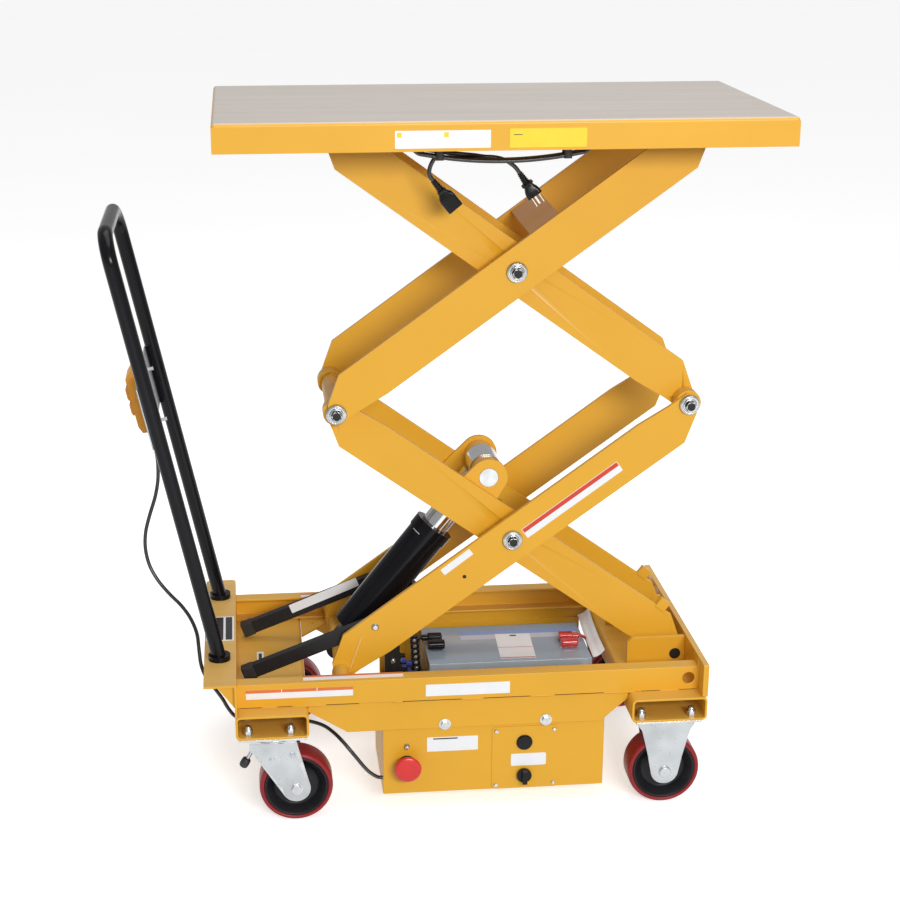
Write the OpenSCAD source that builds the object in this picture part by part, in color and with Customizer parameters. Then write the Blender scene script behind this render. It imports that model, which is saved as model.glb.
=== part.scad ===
// Battery-powered double scissor lift table on four casters, with a push handle.
// X runs along the table away from the handle, Y across it, Z up from the floor.
// Lengths along X are measured from the middle of the deck, and placed() then puts the
// origin on the floor below the middle of the whole table.

/* [Lift] */
// Half length of one scissor arm, pivot to middle pivot
arm_half = 381; // [360:1:400]
// Angle of the arms above level when the table is raised
lift_angle = 38; // [30:1:40]
// Place of the fixed arm pivots along the table
pivot_x = 334; // [325:1:340]
// Thickness of an arm plate
arm_t = 8; // [6:1:10]
// Distance from the middle plane to an inner arm
inner_arm_y = 74; // [70:1:76]
// Distance from the middle plane to an outer arm
outer_arm_y = 110; // [106:1:114]
// Radius of the pivot pins
pin_r = 10; // [8:1:12]
// Outer radius of the bosses between the arms
boss_r = 22; // [18:1:24]

/* [Deck] */
// Length of the deck
deck_l = 910; // [860:10:1100]
// Width of the deck
deck_w = 500; // [480:10:640]
// Depth of the deck skirt
skirt_h = 46; // [40:1:60]
// Thickness of the deck sheet
sheet_t = 3; // [2:0.5:4]
// Radius of the rollers under the deck
deck_roller_r = 17.5; // [15:0.5:20]

/* [Base] */
// Left end of the base rails
base_left = -447; // [-470:1:-440]
// Right end of the base rails
base_right = 351; // [350:1:370]
// Distance from the middle plane to the outer face of a rail
rail_out_y = 205; // [200:1:220]
// Width of a rail
rail_w = 28; // [26:1:32]
// Thickness of the rail and channel walls
rail_t = 4; // [3:0.5:5]
// Radius of the rollers in the base rails
base_roller_r = 17.3; // [15:0.1:19]
// Half width of the caster channels
base_half_w = 240.5; // [235:0.5:250]
// Height of a caster channel
channel_h = 43.5; // [40:0.5:48]

/* [Casters] */
// Radius of a caster wheel
wheel_r = 63.5; // [60:0.5:65]
// Width of a caster wheel
wheel_w = 50; // [40:1:52]
// Distance from the middle plane to a wheel centre
wheel_y = 192; // [185:1:195]
// Underside of the caster channels above the floor
caster_h = 168; // [166:1:180]
// Distance from the swivel axis to the wheel axle
trail = 38.5; // [30:0.5:42]

/* [Cylinder] */
// Outer radius of the barrel
barrel_r = 35; // [32:0.5:37]
// Radius of the rod
rod_r = 25; // [20:0.5:26]
// Length of the barrel from its foot pivot to its mouth
barrel_l = 286; // [280:1:290]

/* [Handle] */
// Diameter of the handle tube
handle_d = 25; // [22:1:30]
// Distance between the handle legs
handle_w = 283; // [250:1:300]
// Height of the crossbar above the floor
handle_h = 1008; // [950:1:1050]

/* [Control box and battery] */
// Length of the control box
box_l = 389; // [370:1:400]
// Depth of the control box
box_d = 180; // [170:1:184]
// Length of the battery
battery_l = 305; // [290:1:310]
// Width of the battery
battery_w = 172; // [160:1:180]
// Height of the battery
battery_h = 160; // [150:1:162]

/* [Hidden] */
$fn = 48;
eps = 0.01;
run_gap = 0.05;       // radial clearance of a turning pin
loop_gap = 0.25;      // radial clearance at the pivot that closes the linkage
face_gap = 0.3;       // clearance between faces that slide past each other

rail_floor = caster_h + channel_h;
pivot_z = rail_floor + rail_t + base_roller_r + 0.2;
rail_h = 2 * (pivot_z - rail_floor);
step_x = arm_half * cos(lift_angle);
step_z = arm_half * sin(lift_angle);
left_x = pivot_x - 2 * step_x;
mid_x = pivot_x - step_x;
mid1_z = pivot_z + step_z;
elbow_z = pivot_z + 2 * step_z;
mid2_z = pivot_z + 3 * step_z;
top_z = pivot_z + 4 * step_z;
deck_rail_t = 4;
deck_packer_t = 9;
deck_under = top_z + deck_roller_r + 0.3 + deck_packer_t;
deck_top = deck_under + sheet_t;
rail_in_y = rail_out_y - rail_w;
arm_l = 2 * arm_half;
bore_r = pin_r + run_gap;
base_end = base_left - rail_t;
channel_left_w = 124;
channel_right_w = 132;
end_plate_t = 10;
channel_right_x = base_right + end_plate_t - channel_right_w;
washer_t = 5.7;
head_t = 9;
outer_face = outer_arm_y + arm_t + face_gap;

// Lug and cylinder
lug_along = 90;
lug_up = 56.5;
lug_r = 33;
lug_t = 8;
lug_y = inner_arm_y - face_gap - lug_t;
lug_pin_r = 11;
lug_x = mid_x - lug_along * cos(lift_angle) + lug_up * sin(lift_angle);
lug_z = mid1_z + lug_along * sin(lift_angle) + lug_up * cos(lift_angle);
cyl_angle = atan2(lug_z - pivot_z, lug_x - left_x);
cyl_l = norm([lug_x - left_x, lug_z - pivot_z]);
eye_half = 30;
eye_r = 28.5;
eye_bore = 19.5;
eye_pin_r = 8.5;
bore_in_barrel = rod_r + 5;
rod_tail = 168;
piston_l = 16;
ring_r = 16.3;
ring_t = 3;

// Props
prop_along = 99;
prop_up = 26.5;
prop_l = 231;
prop_d = 24;
prop_in_y = 90;
prop_out_y = 106;
prop_rest = 200.8;
prop_x = left_x + prop_along * cos(lift_angle) - prop_up * sin(lift_angle);
prop_z = pivot_z + prop_along * sin(lift_angle) + prop_up * cos(lift_angle);
prop_bolt_r = 5;

// Handle
handle_lean = 12;
shelf_top = 271;
shelf_t = 4;
shelf_out = 55;
handle_x = -475.5;
handle_y = 13.5;
handle_bend = 48;
collar_r = 19;
collar_h = 9;
handle_run = (handle_h - shelf_top) / cos(handle_lean);
handle_tip_x = handle_x - (handle_h - shelf_top) * tan(handle_lean) - handle_d / 2;
centre_x = (deck_l / 2 + handle_tip_x) / 2;

// Casters
axle_r = 6;
kingpin_x = -389;
rigid_x = 295;
caster_plate_t = 4;
plate_bottom = caster_h - caster_plate_t;
wheel_gap = 2;
fork_t = 3;
fork_in = wheel_w / 2 + wheel_gap;
crown_top = plate_bottom - 7;
crown_bottom = crown_top - 4;

// Control box
apron_t = 4;
box_left = -199;
box_front = -rail_out_y + 4 + apron_t + face_gap;
box_floor = 31;
box_top = 165;
box_t = 2;
tray_floor = 24;
tray_t = 4;
battery_left = -100;
battery_front = -7;
battery_top = tray_floor + tray_t + battery_h;
apron_bottom = 156;
estop_x = -157.5;
estop_z = 89;
switch_x = 48.8;
switch_z = 57.8;
inlet_z = 120.3;

// Cords: round points, chosen by hand
cord_r = 3.3;
pendant_route = [
  [-578, 0, 635], [-574, -1, 616], [-571, -3, 592], [-572, -5, 560], [-578, -8, 530],
  [-588, -10, 500], [-597, -12, 468], [-599, -16, 438], [-593, -22, 408], [-579, -30, 382],
  [-560, -40, 360], [-540, -52, 342], [-524, -66, 322], [-514, -82, 300], [-511, -98, 276],
  [-508, -112, 254], [-500, -124, 236], [-486, -132, 218], [-473, -134, 198], [-463, -130, 176],
  [-450, -122, 156], [-430, -116, 148], [-400, -116, 147], [-360, -122, 148], [-325, -138, 150],
  [-300, -160, 151], [-283, -184, 148], [-270, -204, 142], [-258, -214, 130], [-246, -216, 114],
  [-236, -212, 98], [-226, -204, 82], [-217, -196, 70], [-208, -191, 62], [-199.7, -190, 60]
];
lead_r = 3.5;
hank_y = -164;
hank_depth = 22;
hank_half = 150;
hank_end = 23;
hank_top = 1194;
hank_low = 1140;
hank_sag = 17;
connector_route = [
  [-98, -149.2, 1138], [-105, -148, 1130], [-110, -147, 1122], [-113, -146, 1114],
  [-114, -146, 1106], [-112, -146, 1099], [-108, -146, 1094]
];
plug_route = [
  [-26, -149.2, 1131], [-12, -149, 1130], [2, -148.5, 1127], [14, -147.5, 1121],
  [24, -146.5, 1113], [31, -146, 1104]
];
connector_tilt = 51;
plug_tilt = 55;

yellow = "#e8a92c";
zinc = "#c9ccd0";
black = "#1c1c1e";

// ---- Helpers ----

// Box given by its lowest and highest corner
module block(low, high) {
  translate(low) cube(high - low);
}

// Straight round bar across the table, from y0 to y1, at x and z
module cross_bar(x, z, r, y0, y1) {
  translate([x, y0, z]) rotate([-90, 0, 0]) cylinder(r = r, h = y1 - y0);
}

// The child and its mirror image on the far side
module both_sides() {
  children();
  mirror([0, 1, 0]) children();
}

// Side outline drawn in X and Z, made a plate from y0 to y1
module side_plate(y0, y1) {
  translate([0, y1, 0]) rotate([90, 0, 0]) linear_extrude(y1 - y0) children();
}

// Ring across the table
module cross_ring(x, z, r, hole, y0, y1) {
  difference() {
    cross_bar(x, z, r, y0, y1);
    cross_bar(x, z, hole, y0 - 1, y1 + 1);
  }
}

// Tube swept along points, with its ends cut square to the path
function unit(v) = v / norm(v);
function heading(route, i) =
  i == 0 ? unit(route[1] - route[0])
  : i == len(route) - 1 ? unit(route[i] - route[i - 1])
  : unit(unit(route[i + 1] - route[i]) + unit(route[i] - route[i - 1]));
function sideways(d) = unit(cross(d, abs(d[1]) > 0.9 ? [1, 0, 0] : [0, 1, 0]));

module swept_tube(route, r, sides = 8) {
  rings = [for (i = [0:len(route) - 1])
    let (d = heading(route, i), u = sideways(d), v = cross(d, u))
    [for (k = [0:sides - 1])
      route[i] + r * (cos(360 * k / sides) * u + sin(360 * k / sides) * v)]];
  points = [for (ring = rings) each ring];
  last = (len(route) - 1) * sides;
  skin = [for (i = [0:len(route) - 2], k = [0:sides - 1])
    let (n = (k + 1) % sides)
    [i * sides + k, (i + 1) * sides + k, (i + 1) * sides + n, i * sides + n]];
  ends = [[for (k = [0:sides - 1]) k], [for (k = [sides - 1:-1:0]) last + k]];
  polyhedron(points, concat(skin, ends));
}

// Moves its child so that the origin lies below the middle of the whole table
module placed() {
  translate([-centre_x, 0, 0]) children();
}

// ---- Base frame ----

module c_rail() {
  rail_hole_r = pin_r + 0.75;
  difference() {
    block([base_left, rail_in_y, rail_floor], [base_right, rail_out_y, rail_floor + rail_h]);
    block([base_left - 1, rail_in_y - 1, rail_floor + rail_t],
          [base_right + 1, rail_out_y - rail_t, rail_floor + rail_h - rail_t]);
    cross_bar(pivot_x, pivot_z, rail_hole_r, rail_out_y - rail_t - 1, rail_out_y + 1);
  }
}

module base_rails() {
  color(yellow) both_sides() c_rail();
}

module channel(x0, w) {
  difference() {
    block([x0, -base_half_w, caster_h], [x0 + w, base_half_w, rail_floor]);
    block([x0 + rail_t, -base_half_w - 1, caster_h + rail_t],
          [x0 + w - rail_t, base_half_w + 1, rail_floor - rail_t]);
  }
}

module caster_channels() {
  color(yellow) {
    channel(base_end, channel_left_w);
    channel(channel_right_x, channel_right_w);
  }
}

module handle_shelf() {
  shelf_low = base_left - shelf_out;
  corner = 8;
  color(yellow) {
    block([base_end, -base_half_w, rail_floor], [base_left, base_half_w, shelf_top - shelf_t]);
    difference() {
      union() {
        block([shelf_low, -base_half_w, shelf_top - shelf_t],
              [base_left, base_half_w - corner, shelf_top]);
        block([shelf_low + corner, base_half_w - corner - eps, shelf_top - shelf_t],
              [base_left - corner, base_half_w, shelf_top]);
        for (x = [shelf_low + corner, base_left - corner])
          translate([x, base_half_w - corner, shelf_top - shelf_t])
            cylinder(r = corner, h = shelf_t);
      }
      for (y = [-1, 1])
        translate([handle_x, handle_y + y * handle_w / 2, shelf_top - shelf_t - 1])
          cylinder(r = 6, h = shelf_t + 2);
    }
    for (y = [-base_half_w + 8, base_half_w - 20])
      side_plate(y, y + 4)
        polygon([[base_end, shelf_top - shelf_t], [base_end, rail_floor + 14],
                 [base_end - 30, shelf_top - shelf_t]]);
  }
}

module right_end_plate() {
  color(yellow)
    block([base_right, -base_half_w, rail_floor],
          [base_right + end_plate_t, base_half_w, shelf_top + 0.4]);
}

bracket_y = 92;

module base_brackets() {
  bracket_low = pivot_x - 87;
  bracket_h = 55;
  corner = 9;
  color(yellow) {
    both_sides() difference() {
      side_plate(bracket_y, bracket_y + arm_t)
        polygon([[bracket_low, rail_floor], [base_right, rail_floor],
                 [base_right, rail_floor + bracket_h],
                 [bracket_low + corner, rail_floor + bracket_h],
                 [bracket_low, rail_floor + bracket_h - corner]]);
      cross_bar(pivot_x, pivot_z, bore_r, bracket_y - 1, bracket_y + arm_t + 1);
    }
    gusset_x = base_end + channel_left_w;
    both_sides() difference() {
      translate([0, 0, rail_floor - rail_t]) linear_extrude(rail_t)
        polygon([[gusset_x, rail_in_y + 20], [gusset_x, 96], [gusset_x + 84, rail_in_y + 20]]);
      translate([gusset_x + 22, rail_in_y - 22, rail_floor - rail_t - 1])
        cylinder(r = 4, h = rail_t + 2);
    }
  }
}

module base_pivot_shaft() {
  shaft_end = bracket_y + arm_t + 0.5;
  color(black) cross_bar(pivot_x, pivot_z, pin_r, -shaft_end, shaft_end);
}

// Side plate that hangs below the rails between the channels
module apron_plates() {
  left = base_end + channel_left_w;
  right = channel_right_x;
  color(yellow) both_sides()
    side_plate(rail_out_y - apron_t - 4, rail_out_y - 4)
      polygon([[left, rail_floor], [right, rail_floor], [right, rail_floor - 14],
               [right - 47, apron_bottom], [left + 67, apron_bottom],
               [left, rail_floor - 14]]);
}

// ---- Control box, battery and tray ----

module control_box() {
  back = box_front + box_d;
  color(yellow) difference() {
    block([box_left, box_front, box_floor], [box_left + box_l, back, box_top]);
    block([box_left + box_t, box_front + box_t, box_floor + box_t],
          [box_left + box_l - box_t, back - box_t, box_top - box_t]);
    block([-4, box_front - 1, box_floor + 6], [105, box_front + box_t + 1, 146]);
    cross_bar(estop_x, estop_z, 11.2, box_front - 1, box_front + box_t + 1);
  }
}

panel_t = 1.5;
panel_x = [-8, 109];
panel_z = [31.5, 151];

module access_panel() {
  corner = 7;
  color(yellow) difference() {
    translate([0, box_front, 0]) rotate([90, 0, 0]) linear_extrude(panel_t)
      difference() {
        union() {
          translate([panel_x[0] + corner, panel_z[0]])
            square([panel_x[1] - panel_x[0] - 2 * corner, panel_z[1] - panel_z[0]]);
          translate([panel_x[0], panel_z[0] + corner])
            square([panel_x[1] - panel_x[0], panel_z[1] - panel_z[0] - 2 * corner]);
          for (x = [panel_x[0] + corner, panel_x[1] - corner],
               z = [panel_z[0] + corner, panel_z[1] - corner])
            translate([x, z]) circle(r = corner);
        }
        translate([switch_x, inlet_z]) circle(r = 13);
        translate([switch_x, switch_z]) circle(r = 8.2);
      }
  }
}

// Motor, pump and tank that stand inside the control box
module pump_unit() {
  motor_x = -66;
  motor_y = -108;
  floor_z = box_floor + box_t;
  color("#303236") {
    block([-180, -150, floor_z], [-110, -40, floor_z + 100]);
    translate([-110, motor_y, floor_z + 50]) rotate([0, 90, 0]) cylinder(r = 26, h = 12);
    translate([-98, motor_y, floor_z + 50]) rotate([0, 90, 0]) cylinder(r = 40, h = 90);
    block([motor_x - 20, motor_y - 30, floor_z], [motor_x + 20, motor_y + 30, floor_z + 12]);
  }
}

module battery_tray() {
  tray_x = [-175, 215];
  tray_back = rail_out_y - 4 - apron_t;
  box_back = box_front + box_d;
  color(yellow) {
    block([tray_x[0], box_back, tray_floor], [tray_x[1], tray_back, tray_floor + tray_t]);
    block([tray_x[0], tray_back - 3, tray_floor + tray_t],
          [tray_x[1], tray_back, apron_bottom + 30]);
    for (x = [tray_x[0], tray_x[1] - 3])
      block([x, box_back, tray_floor + tray_t], [x + 3, tray_back - 3, tray_floor + 64]);
  }
}

module battery() {
  low = tray_floor + tray_t;
  lid = 22;
  color("#b9c2cc") {
    block([battery_left, battery_front, low],
          [battery_left + battery_l, battery_front + battery_w, battery_top - lid]);
    block([battery_left + 2, battery_front + 2, battery_top - lid],
          [battery_left + battery_l - 2, battery_front + battery_w - 2, battery_top]);
  }
}

module terminal_boot(x, y) {
  translate([x, y, battery_top]) {
    cylinder(r = 12, h = 14);
    translate([0, 0, 7]) rotate([0, 90, 0]) cylinder(r = 6, h = 26);
  }
}

module black_boots() {
  color(black) {
    terminal_boot(-78, 60);
    terminal_boot(-78, 100);
  }
}

module red_boots() {
  color("#c4202a") {
    terminal_boot(166, 46);
    terminal_boot(166, 78);
  }
}

module relay_block() {
  low = tray_floor + tray_t;
  color(black) {
    block([-166, 18, low], [-120, 92, low + 118]);
    for (y = [30, 55, 80])
      translate([-143, y, low + 118]) cylinder(r = 8, h = 26);
  }
}

estop_collar_r = 15;

module panel_fittings() {
  color(black) {
    cross_ring(estop_x, estop_z, estop_collar_r, 11, box_front - 7, box_front);
    cross_ring(estop_x, estop_z, 11, 8.2, box_front, box_front + 30);
    cross_bar(switch_x, inlet_z, 12.7, box_front - panel_t - 5, box_front + 16);
    cross_ring(switch_x, switch_z, 8, 5.2, box_front - panel_t, box_front + 14);
    cross_ring(switch_x, switch_z, 12, 5.2, box_front - panel_t - 2, box_front - panel_t);
  }
}

module estop_button() {
  travel_gap = 5;
  face = box_front - 7 - travel_gap;
  color("#c61f28") {
    cross_bar(estop_x, estop_z, 8, face, box_front + 20);
    translate([estop_x, face - 12, estop_z]) rotate([-90, 0, 0])
      cylinder(r1 = 23.5, r2 = 17, h = 12);
    cross_bar(estop_x, estop_z, 22, face - 15, face - 12);
  }
}

module power_switch() {
  face = box_front - panel_t - 2 - face_gap;
  color(black) {
    cross_bar(switch_x, switch_z, 5, face - 1, box_front + 10);
    cross_bar(switch_x, switch_z, 13, face - 5, face);
    block([switch_x - 4, face - 15, switch_z - 12], [switch_x + 4, face - 5, switch_z + 12]);
  }
}

// ---- Handle and pendant ----

// Puts its child in the plane of the leaning handle, with Z along the legs
module in_handle_plane() {
  translate([handle_x, handle_y, shelf_top]) rotate([0, -handle_lean, 0]) children();
}

// One leg of the handle with the bend that leads into the crossbar
module handle_leg() {
  half = handle_w / 2;
  leg_l = handle_run - handle_bend;
  translate([0, half, -20]) cylinder(r = handle_d / 2, h = leg_l + 20);
  translate([0, half - handle_bend, leg_l]) rotate([90, 0, 90])
    rotate_extrude(angle = 90) translate([handle_bend, 0]) circle(r = handle_d / 2);
}

module handle_tube() {
  half = handle_w / 2;
  bar_half = half - handle_bend;
  color(black) {
    difference() {
      in_handle_plane() {
        both_sides() handle_leg();
        cross_bar(0, handle_run, handle_d / 2, -bar_half, bar_half);
      }
      block([handle_x - 60, -half - 60, shelf_top - 60],
            [handle_x + 60, half + 60 + handle_y, shelf_top]);
    }
    for (side = [-1, 1])
      translate([handle_x, handle_y + side * half, shelf_top]) {
        cylinder(r = collar_r, h = collar_h);
        translate([0, 0, -shelf_t - 6]) cylinder(r = 5.9, h = shelf_t + 7);
      }
  }
}

pendant_z = 396;
gland_l = 14;
pendant_l = 102;
pendant_w = 64;
pendant_t = 26;
bracket_t = 2;
bracket_x = -handle_d / 2 - bracket_t;
button_gap = 0.3;
button_along = [66, 39];
button_l = 24;
bracket_bolts = [5, 97];
button_w = 30;
button_proud = 7;

module pendant_bracket() {
  half = handle_w / 2;
  color(zinc) in_handle_plane() {
    block([bracket_x, -half - 4, pendant_z - 2], [-handle_d / 2, half + 4, pendant_z + 104]);
    for (z = bracket_bolts)
      translate([bracket_x - 3, 0, pendant_z + z]) rotate([0, 90, 0]) cylinder(r = 3, h = 24);
  }
}

// Outline of the pendant seen from the operator's side
module pendant_case() {
  back = bracket_x - face_gap;
  front = back - pendant_t;
  half = pendant_w / 2;
  color("#ee9a22") in_handle_plane() difference() {
    union() {
      translate([back - 9.2, 0, pendant_z - gland_l - 3]) cylinder(r = 5, h = gland_l + 4);
      rotate([90, 0, 0]) translate([0, 0, -half]) linear_extrude(pendant_w)
      polygon([[back, pendant_z - 4], [back, pendant_z + pendant_l],
               [back - 5, pendant_z + pendant_l + 4], [front + 8, pendant_z + pendant_l + 3],
               [front, pendant_z + pendant_l - 6], [front, pendant_z + 10],
               [front + 5, pendant_z - 2]]);
    }
    for (z = button_along)
      block([front - 1, -button_w / 2 - button_gap, pendant_z + z - button_l / 2 - button_gap],
            [front + 9, button_w / 2 + button_gap, pendant_z + z + button_l / 2 + button_gap]);
    for (z = bracket_bolts)
      translate([back - 4, 0, pendant_z + z]) rotate([0, 90, 0]) cylinder(r = 3.1, h = 6);
  }
}

module pendant_button(along) {
  front = bracket_x - face_gap - pendant_t;
  half = button_l / 2;
  color("#e8921c") in_handle_plane()
    rotate([90, 0, 0]) translate([0, 0, -button_w / 2]) linear_extrude(button_w)
      polygon([[front + 4, pendant_z + along - half], [front + 4, pendant_z + along + half],
               [front - button_proud + 2, pendant_z + along + half],
               [front - button_proud, pendant_z + along + half - 4],
               [front - button_proud, pendant_z + along - half + 4],
               [front - button_proud + 2, pendant_z + along - half]]);
}

module up_button() {
  pendant_button(button_along[0]);
}

module down_button() {
  pendant_button(button_along[1]);
}

module pendant_cord() {
  color(black) swept_tube(pendant_route, cord_r);
}

// ---- Fasteners of the base ----

module hex_bolt(x, z, y, r) {
  translate([x, y, z]) rotate([90, 0, 0]) {
    cylinder(r = r * 1.5, h = 1.5);
    translate([0, 0, 1.5]) cylinder(r = r, h = 5, $fn = 6);
  }
}

module base_fasteners() {
  apron_face = -(rail_out_y - 4);
  color(zinc) {
    both_sides() {
      for (x = [-91.6, 85.2])
        hex_bolt(x, apron_bottom + 7.5, apron_face, 7);
      for (x = [kingpin_x - 41, kingpin_x + 31, rigid_x - 47, rigid_x + 41],
           y = [wheel_y - 34, wheel_y + 34])
        translate([x, y, caster_h + rail_t]) cylinder(r = 8, h = 9, $fn = 6);
    }
    for (x = [panel_x[0] + 8, panel_x[1] - 8], z = [panel_z[0] + 8, panel_z[1] - 8])
      translate([x, box_front - panel_t, z]) rotate([90, 0, 0]) cylinder(r = 3.2, h = 2);
    translate([-157.5, box_front, 122]) rotate([90, 0, 0]) cylinder(r = 3, h = 2);
  }
}

// ---- Casters ----

module caster_plates() {
  color(zinc) both_sides() difference() {
    block([kingpin_x - 57.5, wheel_y - 48, plate_bottom],
          [kingpin_x + 57.5, wheel_y + 48, caster_h]);
    translate([kingpin_x, wheel_y, plate_bottom - 1]) cylinder(r = bore_r, h = caster_plate_t + 2);
  }
}

// Side of a fork: wide at the crown and round at the axle
module fork_side(crown_x, axle_x) {
  top = crown_bottom + 1;
  hull() {
    translate([crown_x - 40, top - 12]) square([80, 12]);
    translate([axle_x, wheel_r]) circle(r = 24.5, $fn = 32);
  }
}

module fork(crown_x, axle_x) {
  difference() {
    for (side = [-1, 1])
      translate([0, wheel_y + side * (fork_in + fork_t / 2), 0])
        side_plate(-fork_t / 2, fork_t / 2) fork_side(crown_x, axle_x);
    cross_bar(axle_x, wheel_r, axle_r, wheel_y - 40, wheel_y + 40);
  }
  block([crown_x - 40, wheel_y - fork_in - fork_t, crown_bottom],
        [crown_x + 40, wheel_y + fork_in + fork_t, crown_top]);
}

module axle(x) {
  reach = fork_in + fork_t;
  cross_bar(x, wheel_r, axle_r, wheel_y - reach, wheel_y + reach);
  for (side = [0, 1])
    translate([x, wheel_y + (side == 0 ? -reach : reach), wheel_r])
      rotate([side == 0 ? 90 : -90, 0, 0]) {
        cylinder(r = 11, h = 1.5);
        translate([0, 0, 1.5]) cylinder(r = 9, h = 6, $fn = 6);
      }
}

module rigid_forks() {
  color(zinc) both_sides() {
    block([rigid_x - 57.5, wheel_y - 48, plate_bottom], [rigid_x + 57.5, wheel_y + 48, caster_h]);
    block([rigid_x - 34, wheel_y - 24, crown_top], [rigid_x + 34, wheel_y + 24, plate_bottom]);
    fork(rigid_x, rigid_x);
    axle(rigid_x);
  }
}

module swivel_fork() {
  race_r = 30;
  brake_z = brake_pivot_z;
  difference() {
    union() {
      fork(kingpin_x, kingpin_x + trail);
      translate([kingpin_x, wheel_y, crown_top])
        cylinder(r = race_r, h = plate_bottom - face_gap - crown_top);
      translate([kingpin_x, wheel_y, crown_top]) cylinder(r = pin_r, h = caster_h - crown_top);
    }
    cross_bar(brake_pivot_x, brake_z, 4 + run_gap, wheel_y - 40, wheel_y + 40);
  }
  axle(kingpin_x + trail);
}

module swivel_fork_far() {
  color(zinc) swivel_fork();
}

module swivel_fork_near() {
  color(zinc) mirror([0, 1, 0]) swivel_fork();
}

brake_pivot_x = kingpin_x - 30;
brake_pivot_z = crown_bottom - 16;

// Foot lever of the wheel brake: a bent plate that turns on a pin in the fork
module brake_lever() {
  half = fork_in - 1;
  cross_bar(brake_pivot_x, brake_pivot_z, 4, wheel_y - fork_in - fork_t - 2,
            wheel_y + fork_in + fork_t + 2);
  side_plate_low = wheel_y - half;
  side_plate(side_plate_low, wheel_y + half)
    polygon([[brake_pivot_x - 4, brake_pivot_z - 5], [brake_pivot_x + 6, brake_pivot_z - 3],
             [brake_pivot_x + 6, brake_pivot_z + 3], [brake_pivot_x - 6, brake_pivot_z + 5],
             [brake_pivot_x - 26, brake_pivot_z - 8], [brake_pivot_x - 24, brake_pivot_z - 20],
             [brake_pivot_x - 12, brake_pivot_z - 24], [brake_pivot_x - 8, brake_pivot_z - 18]]);
}

module brake_lever_far() {
  color(black) brake_lever();
}

module brake_lever_near() {
  color(black) mirror([0, 1, 0]) brake_lever();
}

hub_r = 47;

module wheel_hub(x) {
  half = wheel_w / 2;
  difference() {
    union() {
      cross_bar(x, wheel_r, hub_r, wheel_y - half + 6, wheel_y + half - 6);
      cross_bar(x, wheel_r, 20, wheel_y - half - 1, wheel_y + half + 1);
    }
    cross_bar(x, wheel_r, axle_r + run_gap, wheel_y - 40, wheel_y + 40);
    for (side = [-1, 1])
      translate([x, wheel_y + side * (half - 6), wheel_r]) rotate([90, 0, 0])
        rotate_extrude() translate([31, 0]) circle(r = 7);
  }
}

module wheel_tread(x) {
  half = wheel_w / 2;
  round = 6;
  translate([x, wheel_y, wheel_r]) rotate([90, 0, 0]) rotate_extrude()
    difference() {
      union() {
        translate([hub_r, -half]) square([wheel_r - round - hub_r, wheel_w]);
        translate([hub_r, -half + round]) square([wheel_r - hub_r, wheel_w - 2 * round]);
        for (y = [-half + round, half - round])
          translate([wheel_r - round, y]) circle(r = round);
      }
    }
}

swivel_wheel_x = kingpin_x + trail;

module hub_left_far() { color(black) wheel_hub(swivel_wheel_x); }
module hub_left_near() { color(black) mirror([0, 1, 0]) wheel_hub(swivel_wheel_x); }
module hub_right_far() { color(black) wheel_hub(rigid_x); }
module hub_right_near() { color(black) mirror([0, 1, 0]) wheel_hub(rigid_x); }
module tread_left_far() { color("#8f2a2c") wheel_tread(swivel_wheel_x); }
module tread_left_near() { color("#8f2a2c") mirror([0, 1, 0]) wheel_tread(swivel_wheel_x); }
module tread_right_far() { color("#8f2a2c") wheel_tread(rigid_x); }
module tread_right_near() { color("#8f2a2c") mirror([0, 1, 0]) wheel_tread(rigid_x); }

// ---- Scissor arms ----

// Arm outline: the lower pivot is the origin and the upper pivot lies along X
module arm_outline() {
  polygon([[46, 50], [arm_l - 90, 26.6], [arm_l - 30, 19.5], [arm_l + 8, 18], [arm_l + 16, 2],
           [arm_l + 2, -20], [arm_l - 46, -50], [90, -26.6], [30, -19.5], [-8, -18],
           [-16, -2], [-2, 20]]);
}

// Arm that rises to the right from (x, z), with a bore at each listed place along it
module arm(x, z, y0, bores) {
  difference() {
    translate([x, 0, z]) rotate([0, -lift_angle, 0]) side_plate(y0, y0 + arm_t) arm_outline();
    for (along = bores)
      cross_bar(x + along * cos(lift_angle), z + along * sin(lift_angle), bore_r,
                y0 - 1, y0 + arm_t + 1);
  }
}

// The same arm rising to the left
module left_arm(x, z, y0, bores) {
  translate([x, 0, 0]) mirror([1, 0, 0]) translate([-x, 0, 0]) arm(x, z, y0, bores);
}

boss_in = inner_arm_y + arm_t;
boss_out = outer_arm_y - face_gap;

module boss(x, z, hole) {
  cross_ring(x, z, boss_r, hole, boss_in, boss_out);
}

module inner_lower_arms() {
  color(yellow) both_sides() {
    left_arm(pivot_x, pivot_z, inner_arm_y, [0, arm_half, arm_l]);
    boss(mid_x, mid1_z, bore_r);
    boss(left_x, elbow_z, bore_r);
    lug_plate();
    stop_pad();
    cross_ring(lug_x, lug_z, 26, lug_pin_r + run_gap, eye_half + face_gap, lug_y);
  }
}

// Block welded on the upper edge of an inner arm near its fixed pivot
module stop_pad() {
  along = 71;
  half = 10;
  translate([pivot_x, 0, pivot_z]) rotate([0, lift_angle, 0])
    block([-along - half, inner_arm_y - 2, 46], [-along + half, inner_arm_y + arm_t + 2, 65]);
}

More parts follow.
